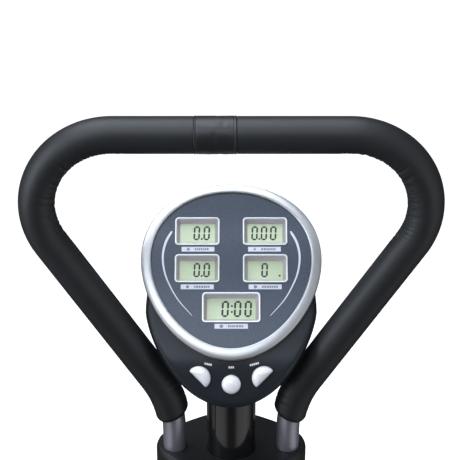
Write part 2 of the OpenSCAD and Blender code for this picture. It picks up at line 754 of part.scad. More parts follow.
module tension_knob() color("#2b2e33") on_mast(knob_z) translate([0, -mast_d / 2 - 22.5, 0])
    rotate([90, 0, 0]) {
        difference() {
            cylinder(h = 20, r = knob_r);
            for (a = [0 : 45 : 315]) rotate(a) translate([knob_r + 3, 0, -cut])
                cylinder(h = 22 + cut, r = 6);
        }
        translate([0, 0, -14]) cylinder(h = 15, r = pin_r);
    }

// Route of the brake cable in the side view: out of the knob, down the mast, along the beam, up to the brake
cable_r = 2;
cable_x = 0;
cable_depth = mast_d / 2 - tube_wall - cable_r - 2.3;
function in_mast(along, z) = [mast_y(z) - along * cos(mast_lean), z - along * sin(mast_lean)];
cable_level = beam_z + beam_h / 2;
cable_turn = in_mast(cable_depth, cable_level + cable_depth * sin(mast_lean));
cable_floor_y = in_mast(cable_depth, beam_top + cable_depth * sin(mast_lean))[0];
cable_rise_y = brake[0] + 22;
mast_bolt_z = [160, 205];
module tension_cable() color("#111111") rotate([0, 0, 90]) bent_bar([
        in_mast(mast_d / 2 + 14, knob_z - 12), in_mast(cable_depth, knob_z - 12), cable_turn,
        [cable_rise_y, cable_level], [cable_rise_y, brake[1] - 4]], [12, 14, 14], cable_r);

// Bracket with magnets around the flywheel's rim, swung away from it by the cable
module magnet_bracket() color("#6d7076") {
    difference() {
        union() {
            slab(1, 31) translate(fly) arc_band(magnet_r + 8, magnet_r + 12, -38, 42);
            at(brake) bar_x(-13, 16, 9);
            slab(1, 16) polygon([brake + [-3, 0], brake + [8, 0],
                fly + (magnet_r + 9) * [cos(-30), sin(-30)], fly + (magnet_r + 11) * [cos(-36), sin(-36)]]);
        }
        at(brake) bar_x(-30, 30, 5 + slack);
    }
    slab(5, 27) for (a = [-12, 8, 28]) translate(fly)
        arc_band(magnet_r, magnet_r + 8, a, a + 12);
}

module arc_band(r0, r1, a0, a1) polygon(concat(
    [for (i = [0 : 8]) let (a = a0 + (a1 - a0) * i / 8) r1 * [cos(a), sin(a)]],
    [for (i = [8 : -1 : 0]) let (a = a0 + (a1 - a0) * i / 8) r0 * [cos(a), sin(a)]]));

// Reed switch on a strap, beside the drive pulley
module speed_sensor() color("#333333") toward(crank, crank + [50, 87]) {
    block([26, 29], [26.2, 106], [-6, 6]);
    block([26, 34], [94, 110], [-8, 8]);
}

// ---------- drive ----------

// Side view of the drive housing, drawn smaller by t all round
module housing_side(t) hull() {
    translate(crank) circle(r = 136 - t);
    translate(fly + [45, 0]) circle(r = 126 - t);
    translate([crank[0] - 121, shell_bottom + 15]) circle(r = 15 - t);
    translate([fly[0] + 156, shell_bottom + 15]) circle(r = 15 - t);
}

module housing_shell() difference() {
    union() {
        difference() {
            slab(0.05, half_w) housing_side(0);
            slab(-cut, half_w - 3) housing_side(3);
            block([-cut, half_w - 3], [crank[0] - 130, fly[0] + 166], [0, shell_bottom + 10]);
        }
        for (p = screw_spots) at(p) bar_x(0.05, half_w - 1, 7);
    }
    block([-cut, beam_w / 2 + 1], [-big * 2, big * 2], [0, beam_top + 1]);
    at(crank) bar_x(0, big, 16);
}

module drive_housing_left() color("#26292d") difference() {
    on_side(LEFT) housing_shell();
    for (p = screw_spots) at(p) bar_x(-25, 5, 2.05);
}

module drive_housing_right() color("#26292d") difference() {
    housing_shell();
    for (p = screw_spots) at(p) {
        bar_x(-5, 60, 2.2);
        bar_x(housing_screw_x, 60, 4.5);
    }
}

module crank_axle() color("silver") at(crank) bar_x(-arm_x - arm_t - 2, arm_x + arm_t + 2, axle_r);

module axle_bearings() color("silver") at(crank) for (s = [LEFT, RIGHT]) on_side(s) difference() {
    bar_x(bottom_bracket - 12, bottom_bracket, 21);
    bar_x(0, 60, axle_r + 0.03);
}

// Position of a pedal spindle at rest: the left one forward, the right one back
function spindle(s) = crank + [-s * crank_r, 0];
function link_eye(s) = pivot + [-s * stride, -link_drop];

module crank_arm(s) color("#2f3238") on_side(s) difference() {
    union() {
        at(crank) bar_x(arm_x, arm_x + arm_t, 24);
        at(spindle(s)) bar_x(arm_x, arm_x + arm_t, 18);
        slab(arm_x + 0.5, arm_x + arm_t - 0.5)
            polygon([crank + [0, 22], spindle(s) + [0, 17], spindle(s) + [0, -17], crank + [0, -22]]);
    }
    at(crank) bar_x(0, 200, axle_r + 0.02);
    at(spindle(s)) bar_x(0, 200, spindle_r + 0.02);
}

module crank_arm_left() crank_arm(LEFT);
module crank_arm_right() crank_arm(RIGHT);

// Spindles that carry the pedal arms, each with its spacer and its end nut
module pedal_spindles() color("silver") for (s = [LEFT, RIGHT]) on_side(s) at(spindle(s)) {
    bar_x(arm_x, eye_x[1] + 9, spindle_r);
    bar_x(arm_x + arm_t, eye_x[0] - 0.5, 13);
    bar_x(eye_x[1] + 0.5, eye_x[1] + 3, 13);
    translate([eye_x[1] + 2.5, 0, 0]) rotate([0, 90, 0]) cylinder(h = 7, r = 12, $fn = 6);
}

module drive_pulley() color("#17181a") at(crank) difference() {
    union() {
        bar_x(belt_x[0], belt_x[1], pulley_r);
        bar_x(belt_x[0] - 1.2, half_w - 4, 18);
    }
    bar_x(0, 100, axle_r + 0.02);
    for (a = [0 : 60 : 300]) rotate([a, 0, 0]) at([70, 0]) bar_x(0, 100, 20);
}

module belt_loop(t) hull() {
    translate(crank) circle(r = pulley_r + t, $fn = 120);
    translate(fly) circle(r = fly_pulley_r + t, $fn = 48);
}

module drive_belt() color("#111111") slab(belt_x[0], belt_x[1]) difference() {
    belt_loop(belt_gap + belt_t);
    belt_loop(belt_gap);
}

module flywheel() color("#7d8087") at(fly) difference() {
    union() {
        difference() {
            bar_x(4, 28, flywheel_r);
            bar_x(0, 11, flywheel_r - 20);
            bar_x(21, 40, flywheel_r - 20);
        }
        bar_x(3, belt_x[1] + 1, 16);
        bar_x(belt_x[0], belt_x[1], fly_pulley_r);
    }
    bar_x(-20, 60, 5 + slack);
}

module flywheel_axle() color("silver") at(fly) {
    bar_x(-14, half_w - 3.6, 5);
    bar_x(-12, -6, 8);
}

module idler_pulley() color("#17181a") at(idler) difference() {
    union() {
        bar_x(belt_x[0] - 1, belt_x[1] + 1, idler_r);
        bar_x(belt_x[0] - 2, belt_x[1] + 1.6, 9);
    }
    bar_x(0, 60, 5 + slack);
}

// ---------- pedal arms ----------

module pedal_arm(s) color("#26272a") on_side(s) difference() {
    union() {
        toward(spindle(s), link_eye(s)) block([pedal_x - arm_w / 2, pedal_x + arm_w / 2],
            [eye_r - 6, norm(link_eye(s) - spindle(s)) - eye_r + 6], [-arm_h / 2, arm_h / 2]);
        at(spindle(s)) bar_x(eye_x[0], eye_x[1], eye_r);
        at(link_eye(s)) bar_x(front_eye_x[0], front_eye_x[1], eye_r + 2);
    }
    at(spindle(s)) bar_x(0, big, spindle_r + slack);
    at(link_eye(s)) bar_x(front_eye_x[0] + 4, big, spindle_r + slack);
    toward(spindle(s), link_eye(s)) {
        block([pedal_x - arm_w / 2 + tube_wall, pedal_x + arm_w / 2 - tube_wall],
            [eye_r + 4, norm(link_eye(s) - spindle(s)) - eye_r - 6],
            [tube_wall - arm_h / 2, arm_h / 2 - tube_wall]);
        translate([pedal_x, 2 * eye_r, -arm_h]) cylinder(h = arm_h, r = drain_r);
    }
}

module pedal_arm_left() pedal_arm(LEFT);
module pedal_arm_right() pedal_arm(RIGHT);

// Tray for the foot, open at its heel
module foot_plate(s) color("#1c1d20") on_side(s) toward(spindle(s), link_eye(s))
    translate([plate_x, plate_start + plate_len / 2, arm_h / 2]) difference() {
        linear_extrude(plate_rim) rounded(plate_w, plate_len, 28);
        translate([0, 0, plate_base]) linear_extrude(plate_rim)
            rounded(plate_w - 2 * plate_wall, plate_len - 2 * plate_wall, 24);
    }

module foot_plate_left() foot_plate(LEFT);
module foot_plate_right() foot_plate(RIGHT);

// ---------- values that depend on several parts ----------
cap_inner = stabilizer_len / 2 - 20;
axle_half = swing_x + hub_half + 3.4;
shroud_screw_y = 36;
housing_screw_x = 16;
console_screw_spots = [[-66, 30], [66, 30], [-58, -52], [58, -52]];
mast_cut_z = -30;
plate_screw_y = [-112, -48];
face_w = rim_w - 2 * rim_side;
face_h = rim_h - 2 * rim_side;

main_frame();
front_stabilizer();
rear_stabilizer();
frame_bolts();
front_caps();
transport_wheel_left();
transport_wheel_right();
rear_cap_left();
rear_cap_right();
mast();
swing_axle();
swing_bushes();
axle_end_caps();
handlebar_bracket();
handlebar_tube();
foam_left();
foam_right();
foam_joint_sleeve();
shroud_front();
shroud_rear();
cover_screws();
console_housing();
console_back();
console_rim();
console_faceplate();
window_frames();
lcd_panels();
circuit_boards();
batteries();
battery_door();
mode_button();
set_button();
reset_button();
knob_base();
tension_knob();
tension_cable();
magnet_bracket();
speed_sensor();
drive_housing_left();
drive_housing_right();
crank_axle();
axle_bearings();
crank_arm_left();
crank_arm_right();
pedal_spindles();
drive_pulley();
drive_belt();
flywheel();
flywheel_axle();
idler_pulley();
pedal_arm_left();
pedal_arm_right();
foot_plate_left();
foot_plate_right();
swing_arm_left();
swing_arm_right();
handle_left();
handle_right();
grip_left();
grip_right();
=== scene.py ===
"""Looks of an elliptical trainer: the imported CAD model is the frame, and detailed pieces are built around it.

Lengths are millimetres up to make(), which turns them into metres. X is the user's right, Y points away
from the user, and Z is up. The loop handlebar, the shroud and the mast share one leaning plane.
"""

import json
import math
import random

import bmesh
import bpy
import numpy as np
from mathutils import Matrix, Vector, geometry

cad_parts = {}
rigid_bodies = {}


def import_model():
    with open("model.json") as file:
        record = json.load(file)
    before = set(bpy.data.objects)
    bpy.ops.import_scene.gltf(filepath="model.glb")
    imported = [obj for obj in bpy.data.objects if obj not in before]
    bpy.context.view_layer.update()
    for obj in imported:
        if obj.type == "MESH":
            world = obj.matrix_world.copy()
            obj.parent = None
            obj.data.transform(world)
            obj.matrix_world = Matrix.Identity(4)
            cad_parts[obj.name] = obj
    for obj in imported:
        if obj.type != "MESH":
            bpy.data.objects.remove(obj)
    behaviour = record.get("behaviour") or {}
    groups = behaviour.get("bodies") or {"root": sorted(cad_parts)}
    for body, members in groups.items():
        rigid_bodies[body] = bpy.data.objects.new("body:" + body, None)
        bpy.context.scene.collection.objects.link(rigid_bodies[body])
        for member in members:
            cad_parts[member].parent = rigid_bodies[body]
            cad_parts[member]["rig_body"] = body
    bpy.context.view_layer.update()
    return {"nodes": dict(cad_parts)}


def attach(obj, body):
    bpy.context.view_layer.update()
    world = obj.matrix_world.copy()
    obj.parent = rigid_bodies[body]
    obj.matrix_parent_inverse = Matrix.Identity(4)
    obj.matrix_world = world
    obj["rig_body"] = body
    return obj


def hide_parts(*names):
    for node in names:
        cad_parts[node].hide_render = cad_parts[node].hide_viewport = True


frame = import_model()
NODES = frame["nodes"]

MM = 0.001
LEFT, RIGHT = -1, 1
SIDES = {"left": LEFT, "right": RIGHT}


# ---------- places ----------


def shift(x, y, z):
    return Matrix.Translation((x, y, z))


def tip(degrees):
    """A turn about the X axis."""
    return Matrix.Rotation(math.radians(degrees), 4, "X")


def mirror_to(side):
    return Matrix.Scale(side, 4, (1, 0, 0))


MAST_LEAN = 8
MAST_FOOT = (400, 110)
MAST_D = 54


def on_mast(z):
    """The frame of the leaning mast at a height: Z runs along the mast."""
    y = MAST_FOOT[0] - (z - MAST_FOOT[1]) * math.tan(math.radians(MAST_LEAN))
    return shift(0, y, z) @ tip(MAST_LEAN)


SHROUD_Z = 1150
PIVOT_Z = 830
KNOB_Z = 980
SHROUD = on_mast(SHROUD_Z)
CONSOLE = SHROUD @ shift(0, 38, 203.5) @ tip(43)
RIM_W, RIM_H, EGG_K = 194, 198, 0.14
RIM_SIDE, RIM_DROP = 11.3, 1.1
FACE_W, FACE_H = RIM_W - 2 * RIM_SIDE, RIM_H - 2 * RIM_SIDE
DECK_Z, SEAM_Z, BACK_Z = -6.2, -26, -41
APRON_TILT = 19
APRON = CONSOLE @ shift(0, -RIM_H / 2, DECK_Z) @ tip(APRON_TILT)
PIVOT = on_mast(PIVOT_Z).to_translation()

CRANK = Vector((0, -250, 270))
CRANK_R = 140
LINK_Z = 250
SWING_A = math.degrees(math.atan(CRANK_R / (PIVOT_Z - LINK_Z)))
HANDLE_LEAN = 8


def on_handle(side):
    """The frame of a swing arm's upper half at rest, with Z along the grip."""
    return mirror_to(side) @ shift(*PIVOT) @ tip(HANDLE_LEAN - side * SWING_A)


def on_pedal_arm(side):
    """The frame of a pedal arm at rest, with Y along it from the crank's spindle."""
    start = CRANK + Vector((0, -side * CRANK_R, 0))
    end = Vector((0, PIVOT.y - side * CRANK_R, LINK_Z))
    rise = math.degrees(math.atan2(end.z - start.z, end.y - start.y))
    return mirror_to(side) @ shift(*start) @ tip(rise)


# ---------- outlines, as lists of 2D points ----------


def egg(width, height, drop=0, count=144):
    """Closed egg, wider above than below."""
    turns = [2 * math.pi * i / count for i in range(count)]
    return [
        (width / 2 * math.cos(a) * (1 + EGG_K * math.sin(a)), height / 2 * math.sin(a) + drop)
        for a in turns
    ]


def disc(radius, centre=(0, 0), count=48, start=0):
    turns = [math.radians(start) + 2 * math.pi * i / count for i in range(count)]
    return [(centre[0] + radius * math.cos(a), centre[1] + radius * math.sin(a)) for a in turns]


def rounded_box(width, height, radius, centre=(0, 0), steps=6):
    points = []
    for quarter, (sx, sy) in enumerate([(1, 1), (-1, 1), (-1, -1), (1, -1)]):
        cx = centre[0] + sx * (width / 2 - radius)
        cy = centre[1] + sy * (height / 2 - radius)
        for i in range(steps + 1):
            a = math.pi / 2 * (quarter + i / steps)
            points.append((cx + radius * math.cos(a), cy + radius * math.sin(a)))
    return points


def inset(outline, amount):
    """The outline moved inwards. It runs anticlockwise."""
    if amount == 0:
        return list(outline)
    moved = []
    count = len(outline)
    for i in range(count):
        before, here, after = outline[i - 1], outline[i], outline[(i + 1) % count]
        along = Vector((after[0] - before[0], after[1] - before[1])).normalized()
        moved.append((here[0] - along.y * amount, here[1] + along.x * amount))
    return moved


def scaled(outline, share, centre=(0, 0)):
    return [(centre[0] + (x - centre[0]) * share, centre[1] + (y - centre[1]) * share) for x, y in outline]


def turned(outline, degrees, move=(0, 0)):
    c, s = math.cos(math.radians(degrees)), math.sin(math.radians(degrees))
    return [(move[0] + x * c - y * s, move[1] + x * s + y * c) for x, y in outline]


def lift(outline, z):
    return [(x, y, z) for x, y in outline]


# ---------- shapes, as a list of points and a list of faces ----------


def loft(loops, ring=False):
    """Skin over closed loops of equal length. A ring has no ends; otherwise both ends are closed."""
    count = len(loops[0])
    points = [p for loop in loops for p in loop]
    faces = []
    for i in range(len(loops) if ring else len(loops) - 1):
        a, b = i * count, (i + 1) % len(loops) * count
        faces += [(a + j, a + (j + 1) % count, b + (j + 1) % count, b + j) for j in range(count)]
    if not ring:
        last = len(points) - count
        faces += [tuple(reversed(range(count))), tuple(range(last, last + count))]
    return points, faces


def joined(shapes):
    points, faces = [], []
    for more_points, more_faces in shapes:
        start = len(points)
        points += more_points
        faces += [tuple(start + i for i in face) for face in more_faces]
    return points, faces


def pad(outline, z0, z1, edge=0.0, steps=4):
    """Slab on an outline, with its top edge rounded."""
    loops = [lift(outline, z0)]
    if edge == 0:
        loops.append(lift(outline, z1))
    for k in range(steps + 1 if edge else 0):
        a = math.pi / 2 * k / steps
        loops.append(lift(inset(outline, edge * (1 - math.cos(a))), z1 - edge * (1 - math.sin(a))))
    return loft(loops)


def band(outline, profile):
    """Closed band around an outline: the profile lists (distance inwards, height) round its section."""
    return loft([lift(inset(outline, t), z) for t, z in profile], ring=True)


def lathe(profile, count=64):
    """Shape turned about Z from a list of (radius, height) that starts and ends on the axis side."""
    return loft([lift(disc(r, count=count), z) for r, z in profile])


def inside(point, outline):
    x, y = point
    hits = 0
    for (x0, y0), (x1, y1) in zip(outline, outline[1:] + outline[:1]):
        if (y0 > y) != (y1 > y) and x < x0 + (y - y0) * (x1 - x0) / (y1 - y0):
            hits += 1
    return hits % 2 == 1


def flat_face(outline, holes, z):
    """Flat face on an outline with holes, as triangles."""
    loops = [outline] + holes
    points = [Vector(p) for loop in loops for p in loop]
    edges, start = [], 0
    for loop in loops:
        count = len(loop)
        edges += [(start + i, start + (i + 1) % count) for i in range(count)]
        start += count
    found = geometry.delaunay_2d_cdt(points, edges, [], 0, 1e-6)
    corners, triangles = found[0], found[2]
    kept = []
    for triangle in triangles:
        middle = sum((corners[i] for i in triangle), Vector((0, 0))) / 3
        if inside(middle, outline) and not any(inside(middle, hole) for hole in holes):
            kept.append(tuple(triangle))
    return [(p.x, p.y, z) for p in corners], kept


# ---------- pieces ----------


def tidy_mesh(mesh, sharp):
    """Joins doubled points, turns the faces outwards and shades all but sharp edges smooth."""
    bm = bmesh.new()
    bm.from_mesh(mesh)
    bmesh.ops.remove_doubles(bm, verts=bm.verts, dist=1e-6)
    bmesh.ops.recalc_face_normals(bm, faces=bm.faces)
    bm.to_mesh(mesh)
    bm.free()
    mesh.shade_smooth()
    mesh.set_sharp_from_angle(angle=math.radians(sharp))


def make(name, shape, slot, node=None, body=None, place=Matrix(), finish=None, sharp=35):
    """A piece from a shape. It rides on the body of the CAD node that it replaces, or on the named body."""
    points, faces = shape
    mesh = bpy.data.meshes.new(name)
    mesh.from_pydata([MM * (place @ Vector(p)) for p in points], [], faces)
    tidy_mesh(mesh, sharp)
    mesh.materials.append(finishes[finish or slot])
    piece = bpy.data.objects.new(name, mesh)
    bpy.context.scene.collection.objects.link(piece)
    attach(piece, body or NODES[node]["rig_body"])
    if node:
        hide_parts(node)
    return piece


def applied(piece, kind, sharp=35, **settings):
    """Adds a modifier to a piece and makes its result the piece's mesh."""
    modifier = piece.modifiers.new(kind.lower(), kind)
    for key, value in settings.items():
        setattr(modifier, key, value)
    bpy.context.view_layer.update()
    found = piece.evaluated_get(bpy.context.evaluated_depsgraph_get())
    mesh = bpy.data.meshes.new_from_object(found)
    piece.modifiers.clear()
    piece.data = mesh
    tidy_mesh(mesh, sharp)
    return piece


def carved(piece, cutters, place, sharp=35):
    """Cuts shapes out of a piece."""
    for shape in cutters:
        mesh = bpy.data.meshes.new("cutter")
        mesh.from_pydata([MM * (place @ Vector(p)) for p in shape[0]], [], shape[1])
        tidy_mesh(mesh, sharp)
        cutter = bpy.data.objects.new("cutter", mesh)
        bpy.context.scene.collection.objects.link(cutter)
        applied(piece, "BOOLEAN", sharp, operation="DIFFERENCE", solver="EXACT", object=cutter)
        bpy.data.objects.remove(cutter)
    return piece


# ---------- materials ----------


class Finish:
    """One Principled material, with short calls for the texture nodes that real surfaces need."""

    def __init__(self, name, colour, roughness, **sockets):
        self.material = bpy.data.materials.new(name)
        self.material.use_nodes = True
        self.tree = self.material.node_tree
        self.shader = self.tree.nodes["Principled BSDF"]
        self.colour = colour
        self.shader.inputs["Base Color"].default_value = (*colour, 1)
        self.shader.inputs["Roughness"].default_value = roughness
        for key, value in sockets.items():
            self.shader.inputs[key.replace("_", " ")].default_value = value
        self.place = self.tree.nodes.new("ShaderNodeTexCoord").outputs["Object"]
        self.bump = None

    def node(self, kind, **inputs):
        made = self.tree.nodes.new("ShaderNode" + kind)
        for key, value in inputs.items():
            socket = made.inputs[key.replace("_", " ")]
            if isinstance(value, bpy.types.NodeSocket):
                self.tree.links.new(value, socket)
            else:
                socket.default_value = value
        return made

    def stretched(self, scale):
        return self.node("Mapping", Vector=self.place, Scale=scale).outputs["Vector"]

    def noise(self, size, detail=3, stretch=(1, 1, 1)):
        """Noise whose features are about size millimetres across."""
        place = self.stretched(stretch)
        return self.node("TexNoise", Vector=place, Scale=1 / (size * MM), Detail=detail).outputs[0]

    def cells(self, size):
        made = self.node("TexVoronoi", Vector=self.place, Scale=1 / (size * MM))
        return made.outputs["Distance"]

    def ranged(self, factor, low, high):
        return self.node("MapRange", Value=factor, To_Min=low, To_Max=high).outputs["Result"]

    def mottled(self, size, amount, stretch=(1, 1, 1)):
        """Colour that drifts lighter and darker."""
        ramp = self.tree.nodes.new("ShaderNodeValToRGB")
        self.tree.links.new(self.noise(size, 4, stretch), ramp.inputs["Fac"])
        for stop, share in zip(ramp.color_ramp.elements, (1 - amount, 1 + amount)):
            stop.color = (*[min(1, c * share) for c in self.colour], 1)
        ramp.color_ramp.elements[0].position = 0.3
        ramp.color_ramp.elements[1].position = 0.7
        self.tree.links.new(ramp.outputs["Color"], self.shader.inputs["Base Color"])
        return self

    def worn(self, size, low, high, stretch=(1, 1, 1)):
        """Roughness that drifts between two values."""
        value = self.ranged(self.noise(size, 4, stretch), low, high)
        self.tree.links.new(value, self.shader.inputs["Roughness"])
        return self

    def raised(self, height, depth):
        """Bump of a depth in millimetres; calls add up."""
        inputs = {"Height": height, "Distance": depth * MM, "Strength": 1.0}
        if self.bump is not None:
            inputs["Normal"] = self.bump
        self.bump = self.node("Bump", **inputs).outputs["Normal"]
        self.tree.links.new(self.bump, self.shader.inputs["Normal"])
        return self


def foam():
    """Closed-cell foam with a soft skin."""
    made = Finish("foam", (0.0062, 0.0074, 0.0098), 0.52, Specular_IOR_Level=0.5)
    made.mottled(26, 0.14).worn(9, 0.49, 0.57)
    return made.raised(made.noise(0.9, 4), 0.05).raised(made.noise(12, 2), 0.22)


def foam_wrap():
    made = Finish("foam_wrap", (0.009, 0.0098, 0.0118), 0.42, Specular_IOR_Level=0.45)
    made.mottled(8, 0.2).worn(5, 0.36, 0.52)
    return made.raised(made.noise(2.5, 4), 0.1)


def powder_coat(name, colour, roughness):
    """Black powder coat with a faint orange peel."""
    made = Finish(name, colour, roughness, Coat_Weight=0.25, Coat_Roughness=0.2)
    made.mottled(60, 0.12).worn(30, roughness - 0.05, roughness + 0.07)
    return made.raised(made.noise(1.6, 2), 0.025)


def mast_steel():
    made = Finish("mast_steel", (0.006, 0.006, 0.007), 0.16, Coat_Weight=0.6, Coat_Roughness=0.07)
    made.mottled(120, 0.15).worn(45, 0.13, 0.2)
    return made.raised(made.noise(6, 1), 0.012)


def tube_silver():
    made = Finish("tube_silver", (0.35, 0.35, 0.41), 0.36, Metallic=0.75)
    made.mottled(30, 0.05, (1, 1, 0.15)).worn(12, 0.3, 0.42, (3, 3, 0.2))
    return made.raised(made.noise(1.4, 2), 0.012)


def bright_steel():
    made = Finish("bright_steel", (0.62, 0.62, 0.64), 0.3, Metallic=1.0)
    made.mottled(8, 0.07).worn(4, 0.22, 0.4)
    return made.raised(made.noise(0.8, 2), 0.01)


def moulding(name, colour, roughness, grain=0.8, depth=0.03, shine=0.3):
    """Moulded plastic with a spark-eroded grain."""
    made = Finish(name, colour, roughness, Specular_IOR_Level=shine)
    made.mottled(40, 0.08).worn(18, roughness - 0.05, roughness + 0.06)
    return made.raised(made.noise(grain, 3), depth)


def silver_lacquer(name, colour, roughness):
    made = Finish(name, colour, roughness, Metallic=0.55, Coat_Weight=0.35, Coat_Roughness=0.2)
    made.mottled(6, 0.03).worn(20, roughness - 0.03, roughness + 0.03)
    return made.raised(made.noise(6, 1), 0.003)


def face_blue():
    """Printed overlay with a fine speckle."""
    made = Finish("face_blue", (0.034, 0.047, 0.075), 0.32, Specular_IOR_Level=0.5)
    made.mottled(0.9, 0.42).worn(14, 0.29, 0.36)
    return made.raised(made.noise(0.7, 3), 0.02)


def lcd():
    made = Finish("lcd", (0.47, 0.545, 0.375), 0.32, Coat_Weight=0.25, Coat_Roughness=0.3)
    made.mottled(22, 0.04).worn(30, 0.28, 0.36)
    return made.raised(made.noise(9, 1), 0.002)


def printed(name, colour):
    """Screen-printed ink."""
    made = Finish(name, colour, 0.5)
    made.mottled(1.2, 0.06)
    return made.raised(made.noise(0.5, 2), 0.006)


def pearl():
    made = Finish("pearl", (0.76, 0.765, 0.79), 0.26, Coat_Weight=0.5, Coat_Roughness=0.15)
    made.mottled(7, 0.03).worn(6, 0.26, 0.36)
    return made.raised(made.noise(3, 2), 0.008)


def cast():
    made = Finish("cast", (0.19, 0.19, 0.2), 0.45, Metallic=0.9)
    made.mottled(10, 0.2).worn(6, 0.35, 0.6)
    return made.raised(made.noise(1.1, 4), 0.06)


def rubber(name, colour, roughness):
    made = Finish(name, colour, roughness, Specular_IOR_Level=0.35)
    made.mottled(24, 0.16).worn(10, roughness - 0.07, roughness + 0.07)
    return made.raised(made.noise(0.7, 3), 0.04)


def board_green():
    made = Finish("board_green", (0.02, 0.11, 0.045), 0.35, Coat_Weight=0.4)
    made.mottled(3, 0.3)
    return made.raised(made.cells(2.4), 0.08)


def cell_sleeve():
    made = Finish("cell", (0.28, 0.29, 0.31), 0.35, Metallic=0.5)
    made.mottled(14, 0.12)
    return made.raised(made.noise(2, 2), 0.02)


def floor_paint():
    made = Finish("floor_paint", (0.9, 0.9, 0.9), 0.9, Specular_IOR_Level=0.1)
    made.shader.inputs["Emission Color"].default_value = (1, 1, 1, 1)
    made.shader.inputs["Emission Strength"].default_value = 0.8
    return made.mottled(400, 0.01)


finishes = {
    "foam": foam(),
    "foam_wrap": foam_wrap(),
    "frame_steel": powder_coat("frame_steel", (0.016, 0.017, 0.019), 0.34),
    "crank_black": powder_coat("crank_black", (0.02, 0.021, 0.024), 0.42),
    "mast_steel": mast_steel(),
    "tube_silver": tube_silver(),
    "bright_steel": bright_steel(),
    "cover_plastic": moulding("cover_plastic", (0.0115, 0.012, 0.0135), 0.42),
    "console_plastic": moulding("console_plastic", (0.0115, 0.0145, 0.0195), 0.38, 0.6, 0.02, 0.24),
    "nylon": moulding("nylon", (0.03, 0.03, 0.033), 0.5),
    "tread": moulding("tread", (0.022, 0.023, 0.026), 0.6, 1.2, 0.06),
    "rim_silver": silver_lacquer("rim_silver", (0.42, 0.425, 0.44), 0.3),
    "window_silver": silver_lacquer("window_silver", (0.86, 0.85, 0.87), 0.3),
    # painted shade: the window silver made darker for the slopes, standing for the shade inside the window
    # recesses
    "window_slope_painted_shade": silver_lacquer("window_slope_painted_shade", (0.46, 0.43, 0.46), 0.3),
    "face_blue": face_blue(),
    "lcd": lcd(),
    "digit": printed("digit", (0.006, 0.009, 0.011)),
    "print_pale": printed("print_pale", (0.56, 0.58, 0.66)),
    "print_dark": printed("print_dark", (0.16, 0.18, 0.24)),
    "print_white": printed("print_white", (0.75, 0.76, 0.8)),
    "board_green": board_green(),
    "cell": cell_sleeve(),
    "pearl": pearl(),
    "sole": rubber("sole", (0.022, 0.022, 0.024), 0.62),
    "belt": rubber("belt", (0.018, 0.018, 0.018), 0.6),
    "sheath": rubber("sheath", (0.014, 0.014, 0.014), 0.45),
    "cast": cast(),
    "floor_paint": floor_paint(),
}
finishes = {name: made.material for name, made in finishes.items()}
SLOTS = {}


def dress_cad():
    """Every CAD node takes the finish of its own material slot."""
    for name, node in NODES.items():
        SLOTS[name] = node.data.materials[0].name.split(".")[0]
        node.data.materials[0] = finishes[SLOTS[name]]


# ---------- foam on the loop handlebar ----------

BAR_FOOT_X, BAR_KNEE, BAR_TOP, BAR_SPLAY = 63.2, 61.5, 380.4, 32.3
BAR_CORNER_X = BAR_FOOT_X + (BAR_TOP - BAR_KNEE) * math.tan(math.radians(BAR_SPLAY))
BAR_BENDS = (120, 80.2)
FOAM_R, FOAM_BORE = 19, 13
FOAM_CUT_A, FOAM_CUT_TILT = 8.8, 14
FOAM_STEP = 1.5
END_SQUEEZE = (3.2, 1.7, 0.8, 0.3)
SLANTED_ROWS = 16
CREASE_SLANT = 2.0
JOINT_X, JOINT_HALF = -16, 22
RING = 72


def bent_line(corners, radii, step):
    """Points and directions along a line with rounded corners, each with its bend's number or None."""
    rows, start = [], Vector(corners[0])
    for i, radius in enumerate(radii, 1):
        here, after = Vector(corners[i]), Vector(corners[i + 1])
        into, out = (here - start).normalized(), (after - here).normalized()
        angle = into.angle_signed(out)
        trim = radius * math.tan(abs(angle) / 2)
        entry = here - into * trim
        rows += straight(start, entry, step)
        across = Vector((into.y, -into.x)) * math.copysign(1, angle)
        centre = entry + across * radius
        count = max(4, round(radius * abs(angle) / step))
        for k in range(count):
            turn = Matrix.Rotation(-angle * k / count, 2)
            rows.append((centre + turn @ (-across * radius), turn @ into, i))
        start = here + out * trim
    rows += straight(start, Vector(corners[-1]), step)
    rows.append((Vector(corners[-1]), (Vector(corners[-1]) - start).normalized(), None))
    return rows


def straight(start, end, step):
    count = max(1, round((end - start).length / step))
    way = (end - start).normalized()
    return [(start + (end - start) * k / count, way, None) for k in range(count)]


def creases(rows, bend, count, seed):
    """Creases across the inside of a bend: row, angle round the foam, span, depth and width of each."""
    draw = random.Random(seed)
    inner = [k for k, row in enumerate(rows) if row[2] == bend]
    low, high = inner[0], inner[-1]
    made = []
    for k in range(count):
        share = (k + draw.uniform(-0.2, 0.2)) / (count - 1)
        fade = math.sin(math.pi * min(1, max(0, share))) ** 0.6
        made.append((
            low + (high - low) * (share * 1.1 - 0.05),
            draw.uniform(-0.35, 0.35),
            draw.uniform(0.7, 1.1),
            draw.uniform(0.6, 1.7) * (0.3 + 0.7 * fade),
            draw.uniform(0.9, 1.5),
        ))
    return made


def foam_foot():
    """The foam's lower end and its next corner: it stops partway round the knee."""
    tail = 2
    lean, bend = math.radians(FOAM_CUT_A), BAR_BENDS[0]
    way = Vector((math.sin(lean), math.cos(lean)))
    start_z = BAR_KNEE - bend * math.tan(math.radians(BAR_SPLAY) / 2)
    cut = Vector((BAR_FOOT_X + bend * (1 - way.y), start_z + bend * way.x))
    knee = cut + way * bend * math.tan(math.radians(BAR_SPLAY - FOAM_CUT_A) / 2)
    return [cut - way * tail, knee]


